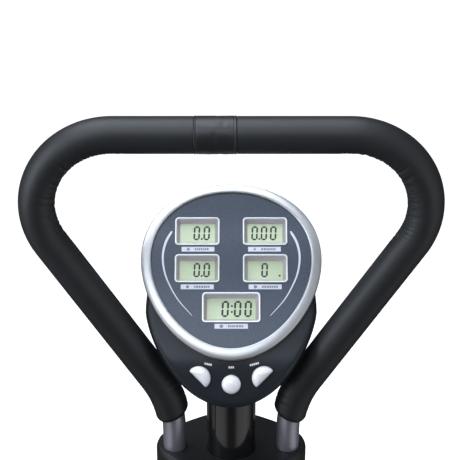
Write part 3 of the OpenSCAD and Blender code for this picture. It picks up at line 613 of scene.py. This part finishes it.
def foam_sleeve(name, side, joint_u, seed):
    """Foam on one half of the loop, creased on the inside of its two corners, with a slanted lower end."""
    corners = foam_foot() + [(BAR_CORNER_X, BAR_TOP), (joint_u, BAR_TOP)]
    rows = bent_line(corners, BAR_BENDS, FOAM_STEP)
    turns = np.linspace(0, 2 * math.pi, RING, endpoint=False)
    signed = (turns + math.pi) % (2 * math.pi) - math.pi
    radius = np.full((len(rows), RING), float(FOAM_R))
    index = np.arange(len(rows))[:, None]
    for place, angle, span, depth, width in creases(rows, 2, 38, seed) + creases(rows, 1, 7, seed + 1):
        slant = place + CREASE_SLANT * (signed[None, :] - angle) ** 2
        fade = np.exp(-((signed[None, :] - angle) / span) ** 2)
        radius -= depth * fade * np.exp(-((index - slant) * FOAM_STEP / width) ** 2)
    for k, squeeze in enumerate(END_SQUEEZE):
        radius[k] -= squeeze
    loops = []
    for k, (point, way, _) in enumerate(rows):
        slope = math.radians(FOAM_CUT_TILT) * max(0, 1 - k / SLANTED_ROWS)
        inward = Matrix.Rotation(-slope, 2) @ Vector((-way.y, way.x))
        loops.append(ring_at(point, inward, radius[k], turns, side))
    point, way, _ = rows[-1]
    inward = Vector((-way.y, way.x))
    overlap = JOINT_HALF - 0.3
    under_wrap = np.full(RING, FOAM_R - 1.0)
    loops.append(ring_at(point, inward, under_wrap, turns, side))
    loops.append(ring_at(point + way * overlap, inward, under_wrap, turns, side))
    loops.append(ring_at(point + way * overlap, inward, np.full(RING, float(FOAM_BORE)), turns, side))
    for point, way, _ in reversed(rows[::6]):
        loops.append(ring_at(point, Vector((-way.y, way.x)), np.full(RING, float(FOAM_BORE)), turns, side))
    node = {LEFT: "foam_left", RIGHT: "foam_right"}[side]
    piece = make(name, loft(loops, ring=True), "foam", node, place=SHROUD, sharp=50)


def ring_at(point, inward, radius, turns, side):
    """Ring round a point of the loop's own plane; angle 0 faces the inside of the loop."""
    return [
        (side * (point.x + r * math.cos(a) * inward.x), r * math.sin(a), point.y + r * math.cos(a) * inward.y)
        for r, a in zip(radius, turns)
    ]


def joint_wrap():
    """Shrunk wrap over the foam's joint, crumpled, with a raised edge at each end."""
    draw = random.Random(11)
    dents = [
        (
            draw.uniform(-JOINT_HALF + 3, JOINT_HALF - 3), draw.uniform(0, 2 * math.pi),
            draw.uniform(1.2, 4), draw.uniform(0.1, 0.35), draw.uniform(-0.22, 0.3),
        )
        for _ in range(90)
    ]
    turns = [2 * math.pi * i / RING for i in range(RING)]
    half, count = JOINT_HALF - 0.2, 76
    loops = []
    for k in range(count + 1):
        u = -half + 2 * half * k / count
        to_end = half - abs(u)
        base = FOAM_R + 0.25 - 0.9 * math.exp(-to_end / 0.25)
        for height, place, width in ((0.28, 1.2, 0.7), (-0.3, 2.8, 0.6)):
            base += height * math.exp(-(((to_end - place) / width) ** 2))
        loop = []
        for a in turns:
            r = base
            for place, angle, width, span, height in dents:
                if abs(u - place) < 3 * width:
                    away = (a - angle + math.pi) % (2 * math.pi) - math.pi
                    r += height * math.exp(-((u - place) / width) ** 2 - (away / span) ** 2)
            loop.append((JOINT_X + u, r * math.sin(a), BAR_TOP - r * math.cos(a)))
        loops.append(loop)
    for u in (half, -half):
        r = FOAM_R - 0.9
        loops.append([(JOINT_X + u, r * math.sin(a), BAR_TOP - r * math.cos(a)) for a in turns])
    skin = loft(loops, ring=True)
    piece = make("foam_joint_wrap", skin, "foam_wrap", "foam_joint_sleeve", place=SHROUD, sharp=60)


# ---------- console ----------

CHIN_X, CHIN_Y, CHIN_H, CHIN_POWER = 94, -33, 112, 1.55
HOUSING_EDGE = 5
FOLD = 1.4
REAR_INSET, REAR_EDGE = 7.5, 7
WELL_GAP, WELL_FLOOR, WELL_TOP = 0.35, -9, 12
LID_SEAT, CELL_BAY, BATTERY_Y = (66.8, 38.8), (62, 34), 26
SCREW_WELLS = ((-66, 30), (66, 30), (-58, -52), (58, -52))


def housing_outline():
    """The egg above and a longer chin below, with a shoulder on each side."""
    upper = [egg_point(a) for a in range(-12, 193, 3)]
    turns = [math.radians(a) for a in range(3, 90, 3)]
    chin = [(CHIN_X * math.sqrt(1 - math.sin(t) ** CHIN_POWER), CHIN_Y - CHIN_H * math.sin(t)) for t in turns]
    lower = [(-x, y) for x, y in chin] + [(0, CHIN_Y - CHIN_H)] + chin[::-1]
    return eased(upper + lower, 2)


def eased(outline, times):
    """The outline with its corners softened."""
    for _ in range(times):
        count = len(outline)
        outline = [
            tuple((outline[i - 1][k] + 2 * outline[i][k] + outline[(i + 1) % count][k]) / 4 for k in (0, 1))
            for i in range(count)
        ]
    return outline


def egg_point(degrees):
    a = math.radians(degrees)
    return (RIM_W / 2 - 3) * math.cos(a) * (1 + EGG_K * math.sin(a)), (RIM_H / 2 - 3) * math.sin(a)


def deck_height(y):
    """The console's front, flat behind the rim and falling away below it in a soft fold."""
    below = DECK_Z + (y + RIM_H / 2) * math.tan(math.radians(APRON_TILT))
    top = min(DECK_Z, below)
    return top - FOLD * math.log1p(math.exp(-abs(DECK_Z - below) / FOLD))


def half_moon(radius, side, count=72):
    """Disc with a flat cut off its lower outer side."""
    flat = SIDE_BUTTON_R - 2 - radius
    points = []
    for i in range(count):
        a = 2 * math.pi * i / count
        x, y = radius * math.cos(a), radius * math.sin(a)
        if y < flat:
            reach = math.sqrt(radius * radius - flat * flat)
            share = (a - math.pi - math.asin(-flat / radius)) / (math.pi - 2 * math.asin(-flat / radius))
            x, y = -reach + 2 * reach * share, flat
        points.append((x, y))
    points = turned(eased(points, 5), -45)
    if side > 0:
        points = [(-x, y) for x, y in reversed(points)]
    return points


BUTTON_X, SIDE_BUTTON_Y, SET_BUTTON_Y = 34.6, -18, -24.7
SIDE_BUTTON_R, SET_BUTTON_R = 13, 10.3


def button_outlines(grow):
    return {
        "mode": turned(half_moon(SIDE_BUTTON_R + grow, LEFT), 0, (-BUTTON_X, SIDE_BUTTON_Y)),
        "set": disc(SET_BUTTON_R + grow, (0, SET_BUTTON_Y), 72),
        "reset": turned(half_moon(SIDE_BUTTON_R + grow, RIGHT), 0, (BUTTON_X, SIDE_BUTTON_Y)),
    }


def console_front():
    """Front shell with a rounded edge, the button panel and a well round each button."""
    outline = housing_outline()
    loops = [lift(outline, SEAM_Z)]
    for k in range(7):
        a = math.pi / 2 * k / 6
        row = inset(outline, HOUSING_EDGE * (1 - math.cos(a)))
        drop = HOUSING_EDGE * (1 - math.sin(a))
        loops.append([(x, y, deck_height(y) - drop) for x, y in row])
    inner = inset(outline, HOUSING_EDGE)
    centre = (0, -20)
    for share in (0.95, 0.89, 0.83, 0.77, 0.71, 0.65, 0.58, 0.5, 0.4, 0.25):
        loops.append([(x, y, deck_height(y)) for x, y in scaled(inner, share, centre)])
    piece = make("console_front_shell", loft(loops), "console_plastic", "console_housing", place=CONSOLE)
    wells = [pad(shape, WELL_FLOOR, WELL_TOP) for shape in button_outlines(WELL_GAP).values()]
    carved(piece, wells, APRON)


def console_rear():
    """Rear shell with rounded edges, the battery compartment and four screw wells."""
    outline = inset(housing_outline(), REAR_INSET)
    loops = []
    for k in range(7):
        a = math.pi / 2 * (1 - k / 6)
        row = inset(outline, REAR_EDGE * (1 - math.cos(a)))
        loops.append(lift(row, BACK_Z + REAR_EDGE * (1 - math.sin(a))))
    loops.append(lift(outline, SEAM_Z - 1.2))
    loops.append(lift(inset(outline, 0.8), SEAM_Z - 0.8))
    loops.append(lift(inset(outline, 0.8), SEAM_Z - 0.05))
    piece = make("console_rear_shell", loft(loops), "console_plastic", "console_back", place=CONSOLE)
    wells = [pad(rounded_box(*LID_SEAT, 2, (0, BATTERY_Y)), BACK_Z - 5, BACK_Z + 2.6)]
    wells.append(pad(rounded_box(*CELL_BAY, 2, (0, BATTERY_Y)), BACK_Z - 5, BACK_Z + 18.4))
    wells += [pad(disc(4.4, place), BACK_Z - 5, BACK_Z + 6) for place in SCREW_WELLS]
    carved(piece, wells, CONSOLE)


def rim():
    """Silver band round the face, crowned, with soft edges."""
    outer, hole = egg(RIM_W, RIM_H), egg(FACE_W, FACE_H, RIM_DROP)
    section = [
        (0, -6), (0, -1.2), (0.012, -0.3), (0.045, 0.3), (0.1, 0.7), (0.3, 1.25), (0.55, 1.7), (0.75, 1.92),
        (0.88, 1.95), (0.95, 1.7), (0.985, 1.1), (1, 0.3), (1, -6),
    ]
    loops = []
    for share, z in section:
        row = [(a[0] + (b[0] - a[0]) * share, a[1] + (b[1] - a[1]) * share) for a, b in zip(outer, hole)]
        loops.append(lift(row, z))
    make("console_rim_band", loft(loops, ring=True), "rim_silver", "console_rim", place=CONSOLE)


SMALL, LARGE = (48.5, 32), (62.5, 33.5)
WINDOWS = [
    ((-36.8, 44.4), SMALL), ((36.8, 44.4), SMALL),
    ((-36.8, 2.2), SMALL), ((36.8, 2.2), SMALL), ((0, -41.5), LARGE),
]
FRAME_BAND = 5.2
LCD_Z = -5.5


def window_frames():
    """Silver window frames: a bright rounded lip, then a slope down to the glass. The slope takes a darker copy
    of the silver, which is painted shade for the recess.
    """
    slope = [
        (0.2, -5.4), (0.2, -0.9), (1.5, 0.3),
        (4.7, LCD_Z + 0.9), (FRAME_BAND, LCD_Z + 0.4), (FRAME_BAND, -5.4),
    ]
    lip = [(0, -1), (0, 0.6), (0.15, 0.95), (0.5, 1.2), (1.3, 1.2), (1.65, 0.95), (1.85, 0.4), (1.95, -1)]
    parts = (("window_bezels", slope, "window_slope_painted_shade"), ("window_lips", lip, "window_silver"))
    for name, section, finish in parts:
        frames = [band(rounded_box(w, h, 4, centre), section) for centre, (w, h) in WINDOWS]
        make(name, joined(frames), "window_silver", "window_frames", place=CONSOLE, finish=finish)


def screens():
    """Liquid-crystal panels behind the windows."""
    panes = [pad(rounded_box(w - 2, h - 2, 1, centre), -8.2, LCD_Z, 0.2) for centre, (w, h) in WINDOWS]
    make("lcd_screens", joined(panes), "lcd", "lcd_panels", place=CONSOLE)


def stroke(a, b, width):
    """Display segment: a bar with pointed ends."""
    way = (Vector(b) - Vector(a)).normalized()
    side = Vector((-way.y, way.x)) * width / 2
    a, b = Vector(a), Vector(b)
    tips = [a, a + way * width / 2 - side, b - way * width / 2 - side, b]
    tips += [b - way * width / 2 + side, a + way * width / 2 + side]
    return [tuple(p) for p in tips]


def zero(x, y, height):
    """The digit 0 as six segments, centred on a point and leaning a little."""
    w, h, t, gap = height * 0.18, height / 2, height * 0.135, height * 0.015
    ends = [((-w, h), (w, h)), ((-w, -h), (w, -h))]
    ends += [((sx * w, 0), (sx * w, sy * h)) for sx in (-1, 1) for sy in (-1, 1)]
    strokes = []
    for a, b in ends:
        way = (Vector(b) - Vector(a)).normalized() * gap
        a, b = Vector(a) + way, Vector(b) - way
        if a.x == b.x and b.y < a.y:
            a, b = b, a
        lean = [(x + px + py * 0.05, y + py) for px, py in stroke(a, b, t)]
        strokes.append(lean)
    return strokes


SMALL_DIGIT, LARGE_DIGIT = 14.2, 15.8


def digits():
    """Readings of zero on the five displays."""
    marks = []
    for ((cx, cy), _), height, places, dots in (
        (WINDOWS[0], SMALL_DIGIT, (-0.7, 10.1), [(4.7, -7.0)]),
        (WINDOWS[1], SMALL_DIGIT, (-11.2, -1.0, 9.1), [(-6.1, -7.0)]),
        (WINDOWS[2], SMALL_DIGIT, (-0.4, 10.2), [(4.9, -7.0)]),
        (WINDOWS[3], SMALL_DIGIT, (-0.6,), [(15.6, -6.6)]),
        (WINDOWS[4], LARGE_DIGIT, (-6.4, 6.9, 18.2), [(0.7, 3.0), (0.7, -3.6)]),
    ):
        for x in places:
            marks += zero(cx + x, cy - 0.3, height)
        marks += [disc(1.15, (cx + x, cy + y), 16) for x, y in dots]
    shapes = [pad(mark, LCD_Z - 0.02, LCD_Z + 0.04) for mark in marks]
    make("lcd_digits", joined(shapes), "lcd", body="frame", place=CONSOLE, finish="digit")


LABEL_SIZE = (35.5, 5.4)
LABELS = [(-36, 24), (36, 24), (-36.5, -18.6), (36.5, -18.6), (0, -62.4)]
SYMBOL_CORNERS = (4, 3, 5, 6, 20)


def labels():
    """Pale bars under the windows, with a plain symbol and a row of dashes in place of any word."""
    bars, marks = [], []
    draw = random.Random(4)
    for (x, y), corners in zip(LABELS, SYMBOL_CORNERS):
        bars.append(pad(rounded_box(*LABEL_SIZE, 0.3, (x, y), 2), -0.05, 0.08))
        marks.append(disc(2.0, (x - 10.5, y), corners, 90))
        at = x - 3.5
        while at < x + 12:
            wide = draw.uniform(1.3, 2.3)
            marks.append(rounded_box(wide, 2.5, 0.2, (at + wide / 2, y), 2))
            at += wide + 0.6
    make("label_bars", joined(bars), "window_silver", body="frame", place=CONSOLE, finish="print_pale")
    shapes = [pad(mark, 0.06, 0.12) for mark in marks]
    make("label_marks", joined(shapes), "face_blue", body="frame", place=CONSOLE, finish="print_dark")


ARC_POINTS = [(64.5, 44.5), (71, 32), (74, 17), (72.5, 1), (67.5, -14), (57, -33), (41.5, -51)]


def face_arcs():
    """Two pale arcs beside the windows, thick above and tapering to a point below."""
    arcs = []
    for side in (LEFT, RIGHT):
        line = [Vector(p) for p in smooth_line(ARC_POINTS, 10)]
        left, right = [], []
        for k, p in enumerate(line):
            way = (line[min(k + 1, len(line) - 1)] - line[max(k - 1, 0)]).normalized()
            share = k / (len(line) - 1)
            half = 1.25 * (1 - share) ** 0.6 * min(1, 0.55 + 6 * share) + 0.12
            across = Vector((-way.y, way.x)) * half
            left.append(p + across)
            right.append(p - across)
        outline = [(side * p.x, p.y) for p in left + right[::-1]]
        arcs.append(pad(outline, -0.05, 0.09))
    make("face_arcs", joined(arcs), "window_silver", body="frame", place=CONSOLE, finish="print_pale")


def smooth_line(points, steps):
    """Catmull-Rom line through points."""
    ends = [points[0]] + list(points) + [points[-1]]
    found = []
    for a, b, c, d in zip(ends, ends[1:], ends[2:], ends[3:]):
        for k in range(steps):
            t = k / steps
            found.append(tuple(
                0.5 * (
                    2 * q + (r - p) * t + (2 * p - 5 * q + 4 * r - s) * t * t
                    + (3 * q - p - 3 * r + s) * t ** 3
                )
                for p, q, r, s in zip(a, b, c, d)
            ))
    found.append(points[-1])
    return found


def button_marks():
    """White dashes over the three buttons in place of words."""
    marks = []
    for x, y, count, lean in ((-24.5, -3.2, 4, -13), (0, -6.6, 3, 0), (24.5, -3.2, 5, 14)):
        for k in range(count):
            dash = rounded_box(1.5, 2.2, 0.2, ((k - (count - 1) / 2) * 2.1, 0), 2)
            marks.append(turned(dash, lean, (x, y)))
    shapes = [pad(mark, -0.12, 0.1) for mark in marks]
    make("button_marks", joined(shapes), "window_silver", body="frame", place=APRON, finish="print_white")


BUTTON_FOOT, BUTTON_EDGE, BUTTON_DOME = -5.5, -0.4, 6.2
BUTTON_CREST = 2.6


def buttons():
    """Domed pearl caps in the button panel. The crest of a side button lies towards its round side."""
    for name, outline in button_outlines(-0.15).items():
        xs, ys = zip(*outline)
        middle = ((min(xs) + max(xs)) / 2, (min(ys) + max(ys)) / 2)
        crest = BUTTON_CREST * np.sign(round(middle[0]))
        centre = (middle[0] - crest, middle[1] + abs(crest))
        loops = [lift(outline, BUTTON_FOOT), lift(outline, BUTTON_EDGE)]
        for k in range(1, 19):
            a = math.pi / 2 * k / 18
            row = scaled(outline, max(0.02, math.cos(a)), centre)
            loops.append(lift(row, BUTTON_EDGE + BUTTON_DOME * math.sin(a)))
        make(name + "_cap", loft(loops), "pearl", name + "_button", place=APRON, sharp=60)


HINGE_Y = -43.9


def battery_lid():
    """Lid on a hinge barrel, with softened edges and a thumb ridge."""
    lid = pad(rounded_box(66, 36.4, 1.5, (0, -25.2)), -2.1, -0.1, 0.5)
    ridges = [pad(rounded_box(18, 1.2, 0.5, (0, -11 - 2.4 * k), 2), -0.4, 0.5, 0.4) for k in range(3)]
    profile = [(0.9, -34.5), (0.9, -33), (1.1, -33), (1.1, 33), (0.9, 33), (0.9, 34.5)]
    quarter = Matrix.Rotation(math.pi / 2, 4, "Y")
    hinge = shift(0, HINGE_Y, -1.1) @ quarter
    barrel = [lift(disc(r, count=20), z) for r, z in profile]
    barrel = loft([[tuple(hinge @ Vector(p)) for p in loop] for loop in barrel])
    flipped = CONSOLE @ shift(0, 0, BACK_Z) @ Matrix.Rotation(math.pi, 4, "X")
    make("battery_lid", joined([lid, barrel] + ridges), "console_plastic", "battery_door", place=flipped)


# ---------- shroud ----------

SHROUD_H = 95
SHROUD_R, SHROUD_REACH, SHROUD_EDGE_A = 100, 50, 44
SHROUD_SIDE = [(76.5, -16.5), (82, -8), (84.5, 2), (83, 14), (79, 25), (53, 47.5), (28, 62)]
SHROUD_EDGE = 4.5
COVER_WALL, PARTING = 2.5, 0.05
MAST_GAP, SOCKET_R = 0.4, 13.3


def shroud_outline():
    """The shroud from above: a broad curve towards the user, cheeks round the tubes, a narrower back."""
    front = []
    for a in np.linspace(-SHROUD_EDGE_A, SHROUD_EDGE_A, 30):
        t = math.radians(a)
        front.append((SHROUD_R * math.sin(t), SHROUD_R - SHROUD_REACH - SHROUD_R * math.cos(t)))
    return resampled(front + SHROUD_SIDE + [(-x, y) for x, y in reversed(SHROUD_SIDE)], 3.0)


def resampled(outline, step):
    """The outline with more points, its corners eased."""
    fine = []
    count = len(outline)
    for i in range(count):
        a, b = Vector(outline[i]), Vector(outline[(i + 1) % count])
        parts = max(1, round((b - a).length / step))
        fine += [a + (b - a) * k / parts for k in range(parts)]
    return eased([tuple(p) for p in fine], 5)


def shroud():
    """Two halves of the cover over the handlebar's socket, with a soft top edge."""
    outline, edge = shroud_outline(), SHROUD_EDGE
    holes = [disc(MAST_D / 2 + MAST_GAP)]
    sockets = [disc(SOCKET_R, (side * BAR_FOOT_X, 0), 32) for side in (LEFT, RIGHT)]
    loops = []
    for k in range(6):
        a = math.pi / 2 * (1 - k / 5)
        loops.append(lift(inset(outline, edge * (1 - math.cos(a))), -SHROUD_H + edge * (1 - math.sin(a))))
    for k in range(7):
        a = math.pi / 2 * k / 6
        loops.append(lift(inset(outline, edge * (1 - math.cos(a))), -edge * (1 - math.sin(a))))
    points, faces = loft(loops)
    wall = (points, faces[:-2])
    inner = inset(outline, edge)
    top, base = flat_face(inner, holes + sockets, 0), flat_face(inner, holes, -SHROUD_H)
    for half, keep in (("front", -1), ("rear", 1)):
        piece = make(f"shroud_{half}_cover", joined([wall, top, base]), "cover_plastic", "shroud_" + half)
        bm = bmesh.new()
        bm.from_mesh(piece.data)
        bmesh.ops.bisect_plane(
            bm, geom=bm.verts[:] + bm.edges[:] + bm.faces[:], plane_co=(0, keep * PARTING * MM, 0),
            plane_no=(0, -keep, 0), clear_outer=True,
        )
        bm.transform(metre_matrix(SHROUD))
        bm.to_mesh(piece.data)
        bm.free()
        applied(piece, "SOLIDIFY", thickness=COVER_WALL * MM, offset=-1)


def metre_matrix(place):
    """A placing matrix with its shift in metres."""
    turned_only = place.to_3x3().to_4x4()
    return Matrix.Translation(place.to_translation() * MM) @ turned_only


# ---------- drive housing ----------

HOUSING_HALF, SIDE_EDGE, SIDE_WALL = 52, 12, 3
PANEL_GROOVE = ((26, 0), (27, 1.2), (30, 1.6), (33, 1.2), (34, 0))
SHELL_BOTTOM = 65
FLY = Vector((0, 10, 245))


def housing_side():
    """Side view of the drive housing: one skin stretched over four rounds, as (y, z)."""
    rounds = [
        ((CRANK.y, CRANK.z), 136), ((FLY.y + 45, FLY.z), 126),
        ((CRANK.y - 121, SHELL_BOTTOM + 15), 15), ((FLY.y + 156, SHELL_BOTTOM + 15), 15),
    ]
    points = [Vector(p) for centre, r in rounds for p in disc(r, centre, 96)]
    return [tuple(points[i]) for i in geometry.convex_hull_2d(points)]


def drive_housing(name, side):
    """Half of the drive housing, with a broad rounded edge and a sunken panel line."""
    outline = housing_side()
    area = sum(a[0] * b[1] - b[0] * a[1] for a, b in zip(outline, outline[1:] + outline[:1]))
    if area < 0:
        outline.reverse()
    outline = resampled(outline, 6)
    loops = [lift(outline, PARTING)]
    for k in range(8):
        a = math.pi / 2 * k / 7
        row = inset(outline, SIDE_EDGE * (1 - math.cos(a)))
        loops.append(lift(row, HOUSING_HALF - SIDE_EDGE * (1 - math.sin(a))))
    for distance, sink in PANEL_GROOVE:
        loops.append(lift(inset(outline, distance), HOUSING_HALF - sink))
    points, faces = loft(loops)
    wall = (points, faces[:-2])
    axle = disc(16, (CRANK.y, CRANK.z), 48)
    side_face = flat_face(inset(outline, PANEL_GROOVE[-1][0]), [axle], HOUSING_HALF)
    place = mirror_to(side) @ Matrix(((0, 0, 1, 0), (1, 0, 0, 0), (0, 1, 0, 0), (0, 0, 0, 1)))
    shape = joined([wall, side_face])
    piece = make(f"drive_cover_{name}", shape, "cover_plastic", "drive_housing_" + name, place=place)
    applied(piece, "SOLIDIFY", thickness=SIDE_WALL * MM, offset=-1)


# ---------- arms, foot plates and controls ----------

GRIP_X, GRIP_FROM, GRIP_TO, GRIP_R = 292, 385, 606, 19
HANDLE_R = 14
PLATE_W, PLATE_LEN, PLATE_X, PLATE_START = 130, 350, 149, 110
PLATE_RIM, PLATE_BASE, PLATE_WALL = 30, 8, 5
ARM_H = 40


def grip(name, side):
    """Foam grip with shallow rings and a domed end."""
    length = GRIP_TO - GRIP_FROM
    bore = HANDLE_R + 0.3
    profile = [(bore, length - 10), (bore, 0), (GRIP_R - 2.5, 0), (GRIP_R - 1, 0.7), (GRIP_R - 0.3, 2)]
    for k in range(100):
        z = 6 + (length - 26) * k / 99
        profile.append((GRIP_R - 0.55 + 0.45 * math.cos(2 * math.pi * k / 5), z))
    for k in range(9):
        a = math.pi / 2 * k / 8
        profile.append((max(0.3, (GRIP_R - 0.1) * math.cos(a) ** 0.8), length - 12 + 12 * math.sin(a)))
    place = on_handle(side) @ shift(GRIP_X, 0, GRIP_FROM)
    piece = make(f"hand_grip_{name}", lathe(profile), "foam", "grip_" + name, place=place, sharp=50)


def foot_tray(name, side):
    """Foot plate with a rolled edge and rows of ribs."""
    outline = rounded_box(PLATE_W, PLATE_LEN, 28, steps=10)
    loops = [lift(inset(outline, 2), 0), lift(inset(outline, 0.6), 0.6), lift(outline, 2)]
    rolled = ((0, 2.5), (0.3, 1.2), (1.2, 0.3), (2.5, 0), (3.8, 0.3), (4.7, 1.2), (PLATE_WALL, 2.5))
    loops += [lift(inset(outline, t), PLATE_RIM - drop) for t, drop in rolled]
    for t, rise in ((0, 4), (1, 1.2), (4, 0)):
        loops.append(lift(inset(outline, PLATE_WALL + t), PLATE_BASE + rise))
    ribs = []
    for k in range(-10, 11):
        for lane in (-1, 0, 1):
            rib = rounded_box(26, 6, 2.8, (lane * 34, k * 14.5), 4)
            ribs.append(pad(rib, PLATE_BASE - 0.5, PLATE_BASE + 1.8, 1.2, 3))
    place = on_pedal_arm(side) @ shift(PLATE_X, PLATE_START + PLATE_LEN / 2, ARM_H / 2)
    make(f"foot_tray_{name}", joined([loft(loops)] + ribs), "tread", "foot_plate_" + name, place=place)


WHEEL_AT = (251, 564, 29)


def wheel(name, side):
    """Transport wheel with a grooved tread and a dished web."""
    half = 10
    near_side = [
        (4.1, -half - 1), (8, -half - 1), (8, -half), (9, -half + 2), (16, -half + 2), (17.5, -half),
        (20, -half), (21.6, -half + 1.2), (22, -half + 3), (22, -1.6), (20.8, -0.8),
    ]
    profile = near_side + [(r, -z) for r, z in reversed(near_side)]
    loops = [lift(disc(r, count=64), z) for r, z in profile]
    x, y, z = WHEEL_AT
    place = shift(side * x, y, z) @ Matrix.Rotation(math.pi / 2, 4, "Y")
    node = "transport_wheel_" + name
    make(f"wheel_tyre_{name}", loft(loops, ring=True), SLOTS[node], node, place=place)


KNOB_R, KNOB_REACH = 22, 22.5


def knob():
    """Fluted tension knob with a raised pointer."""
    flutes, count = 16, 192
    section = ((0.9, 0), (1, 1.2), (1, 15), (0.97, 17.4), (0.9, 19), (0.8, 19.7), (0.74, 19.2), (0.3, 19.2))
    loops = []
    for share, z in section:
        row = []
        for i in range(count):
            a = 2 * math.pi * i / count
            flute = 0.55 * (1 - abs(math.cos(flutes * a / 2)) ** 0.5) if z < 18 else 0
            r = KNOB_R * share - 2 * flute
            row.append((r * math.cos(a), r * math.sin(a)))
        loops.append(lift(row, z))
    shaft = pad(disc(4, count=24), -14, 1)
    pointer = pad(rounded_box(2.6, 15, 1.2, (0, 8.5), 4), 19, 20, 0.6)
    place = on_mast(KNOB_Z) @ shift(0, -MAST_D / 2 - KNOB_REACH, 0) @ tip(90)
    shape = joined([loft(loops), shaft, pointer])
    make("tension_dial", shape, SLOTS["tension_knob"], "tension_knob", place=place)


# ---------- stage ----------


CAMERA_AIM = (-0.0013, 0.2158, 1.4203)
CAMERA_AWAY, CAMERA_RISE, CAMERA_FIELD = 1.5, 20, 18


def camera():
    """Looks down at the console from straight behind the user. Lengths are metres and angles degrees."""
    rise = math.radians(CAMERA_RISE)
    way = Vector((0, -math.cos(rise), math.sin(rise)))
    data = bpy.data.cameras.new("camera")
    data.sensor_width = 36
    data.lens = data.sensor_width / 2 / math.tan(math.radians(CAMERA_FIELD) / 2)
    data.clip_start = 0.02
    made = bpy.data.objects.new("camera", data)
    made.location = Vector(CAMERA_AIM) + way * CAMERA_AWAY
    made.rotation_euler = (-way).to_track_quat("-Z", "Y").to_euler()
    bpy.context.scene.collection.objects.link(made)
    bpy.context.scene.camera = made


def floor():
    """Pale flat floor that runs far out on all sides. It throws no light back on the machine."""
    mesh = bpy.data.meshes.new("studio_floor")
    reach = 40.0
    corners = [(-reach, -reach, 0), (reach, -reach, 0), (reach, reach, 0), (-reach, reach, 0)]
    mesh.from_pydata(corners, [], [(0, 1, 2, 3)])
    mesh.materials.append(finishes["floor_paint"])
    made = bpy.data.objects.new("studio_floor", mesh)
    bpy.context.scene.collection.objects.link(made)
    made.visible_diffuse = made.visible_glossy = False


def softbox(name, place, aim, size, power):
    """Rectangular studio lamp, in metres and watts."""
    data = bpy.data.lights.new(name, "AREA")
    data.shape = "RECTANGLE"
    data.size, data.size_y = size
    data.energy = power
    data.color = LIGHT_TINT
    made = bpy.data.objects.new(name, data)
    made.location = place
    made.rotation_euler = (Vector(aim) - Vector(place)).to_track_quat("-Z", "Y").to_euler()
    made.visible_camera = False
    bpy.context.scene.collection.objects.link(made)


LIGHT_TINT = (0.84, 0.915, 1.0)
ROOM_LIGHT, SIDE_LIGHT = 0.09, 0.48
SOFTBOXES = (
    ("top_box", (-0.6, 0.3, 4.0), (0, 0.3, 1), (2.6, 2.6), 115),
    ("front_box", (-0.5, -1.75, 3.3), (0, 0.2, 1.3), (1.8, 0.8), 30),
    ("left_box", (-1.7, -0.5, 1.6), (0, 0.28, 1.3), (0.6, 1.6), 20),
    ("right_box", (1.6, -0.9, 0.8), (0, 0.28, 1.1), (0.4, 1.4), 3),
)


def world_node(tree, kind, *values, **settings):
    """First output of a new node in the world's tree. The values, or links, go to its first sockets."""
    made = tree.nodes.new("ShaderNode" + kind)
    for key, value in settings.items():
        setattr(made, key, value)
    for socket, value in zip(made.inputs, values):
        if isinstance(value, bpy.types.NodeSocket):
            tree.links.new(value, socket)
        else:
            socket.default_value = value
    return made.outputs[0]


def room():
    """A dim room with brighter walls on both sides of the user. The camera sees plain white."""
    world = bpy.data.worlds.new("studio")
    world.use_nodes = True
    tree = world.node_tree
    axes = tree.nodes.new("ShaderNodeSeparateXYZ")
    tree.links.new(tree.nodes.new("ShaderNodeTexCoord").outputs["Generated"], axes.inputs[0])
    across = world_node(tree, "Math", axes.outputs["X"], operation="ABSOLUTE")
    aside = world_node(tree, "MapRange", across, 0.2, 0.5, 0.0, 1.0)
    before = world_node(tree, "MapRange", axes.outputs["Y"], 0.3, -0.1, 0.0, 1.0)
    walls = world_node(tree, "Math", aside, before, operation="MULTIPLY")
    glow = world_node(tree, "MapRange", walls, 0.0, 1.0, ROOM_LIGHT, ROOM_LIGHT + SIDE_LIGHT)
    seen = tree.nodes.new("ShaderNodeLightPath").outputs["Is Camera Ray"]
    strength = world_node(tree, "MapRange", seen, 0.0, 1.0, glow, 1.0)
    background = tree.nodes["Background"]
    tree.links.new(strength, background.inputs["Strength"])
    background.inputs["Color"].default_value = (1, 1, 1, 1)
    bpy.context.scene.world = world


def lights():
    room()
    for softbox_row in SOFTBOXES:
        softbox(*softbox_row)
    bpy.context.scene.view_settings.view_transform = "Standard"


dress_cad()
foam_sleeve("foam_sleeve_left", LEFT, JOINT_HALF - JOINT_X, 3)
foam_sleeve("foam_sleeve_right", RIGHT, JOINT_HALF + JOINT_X, 8)
joint_wrap()
console_front()
console_rear()
rim()
window_frames()
screens()
digits()
labels()
face_arcs()
button_marks()
buttons()
battery_lid()
shroud()
knob()
for word, hand in SIDES.items():
    drive_housing(word, hand)
    grip(word, hand)
    foot_tray(word, hand)
    wheel(word, hand)
camera()
floor()
lights()
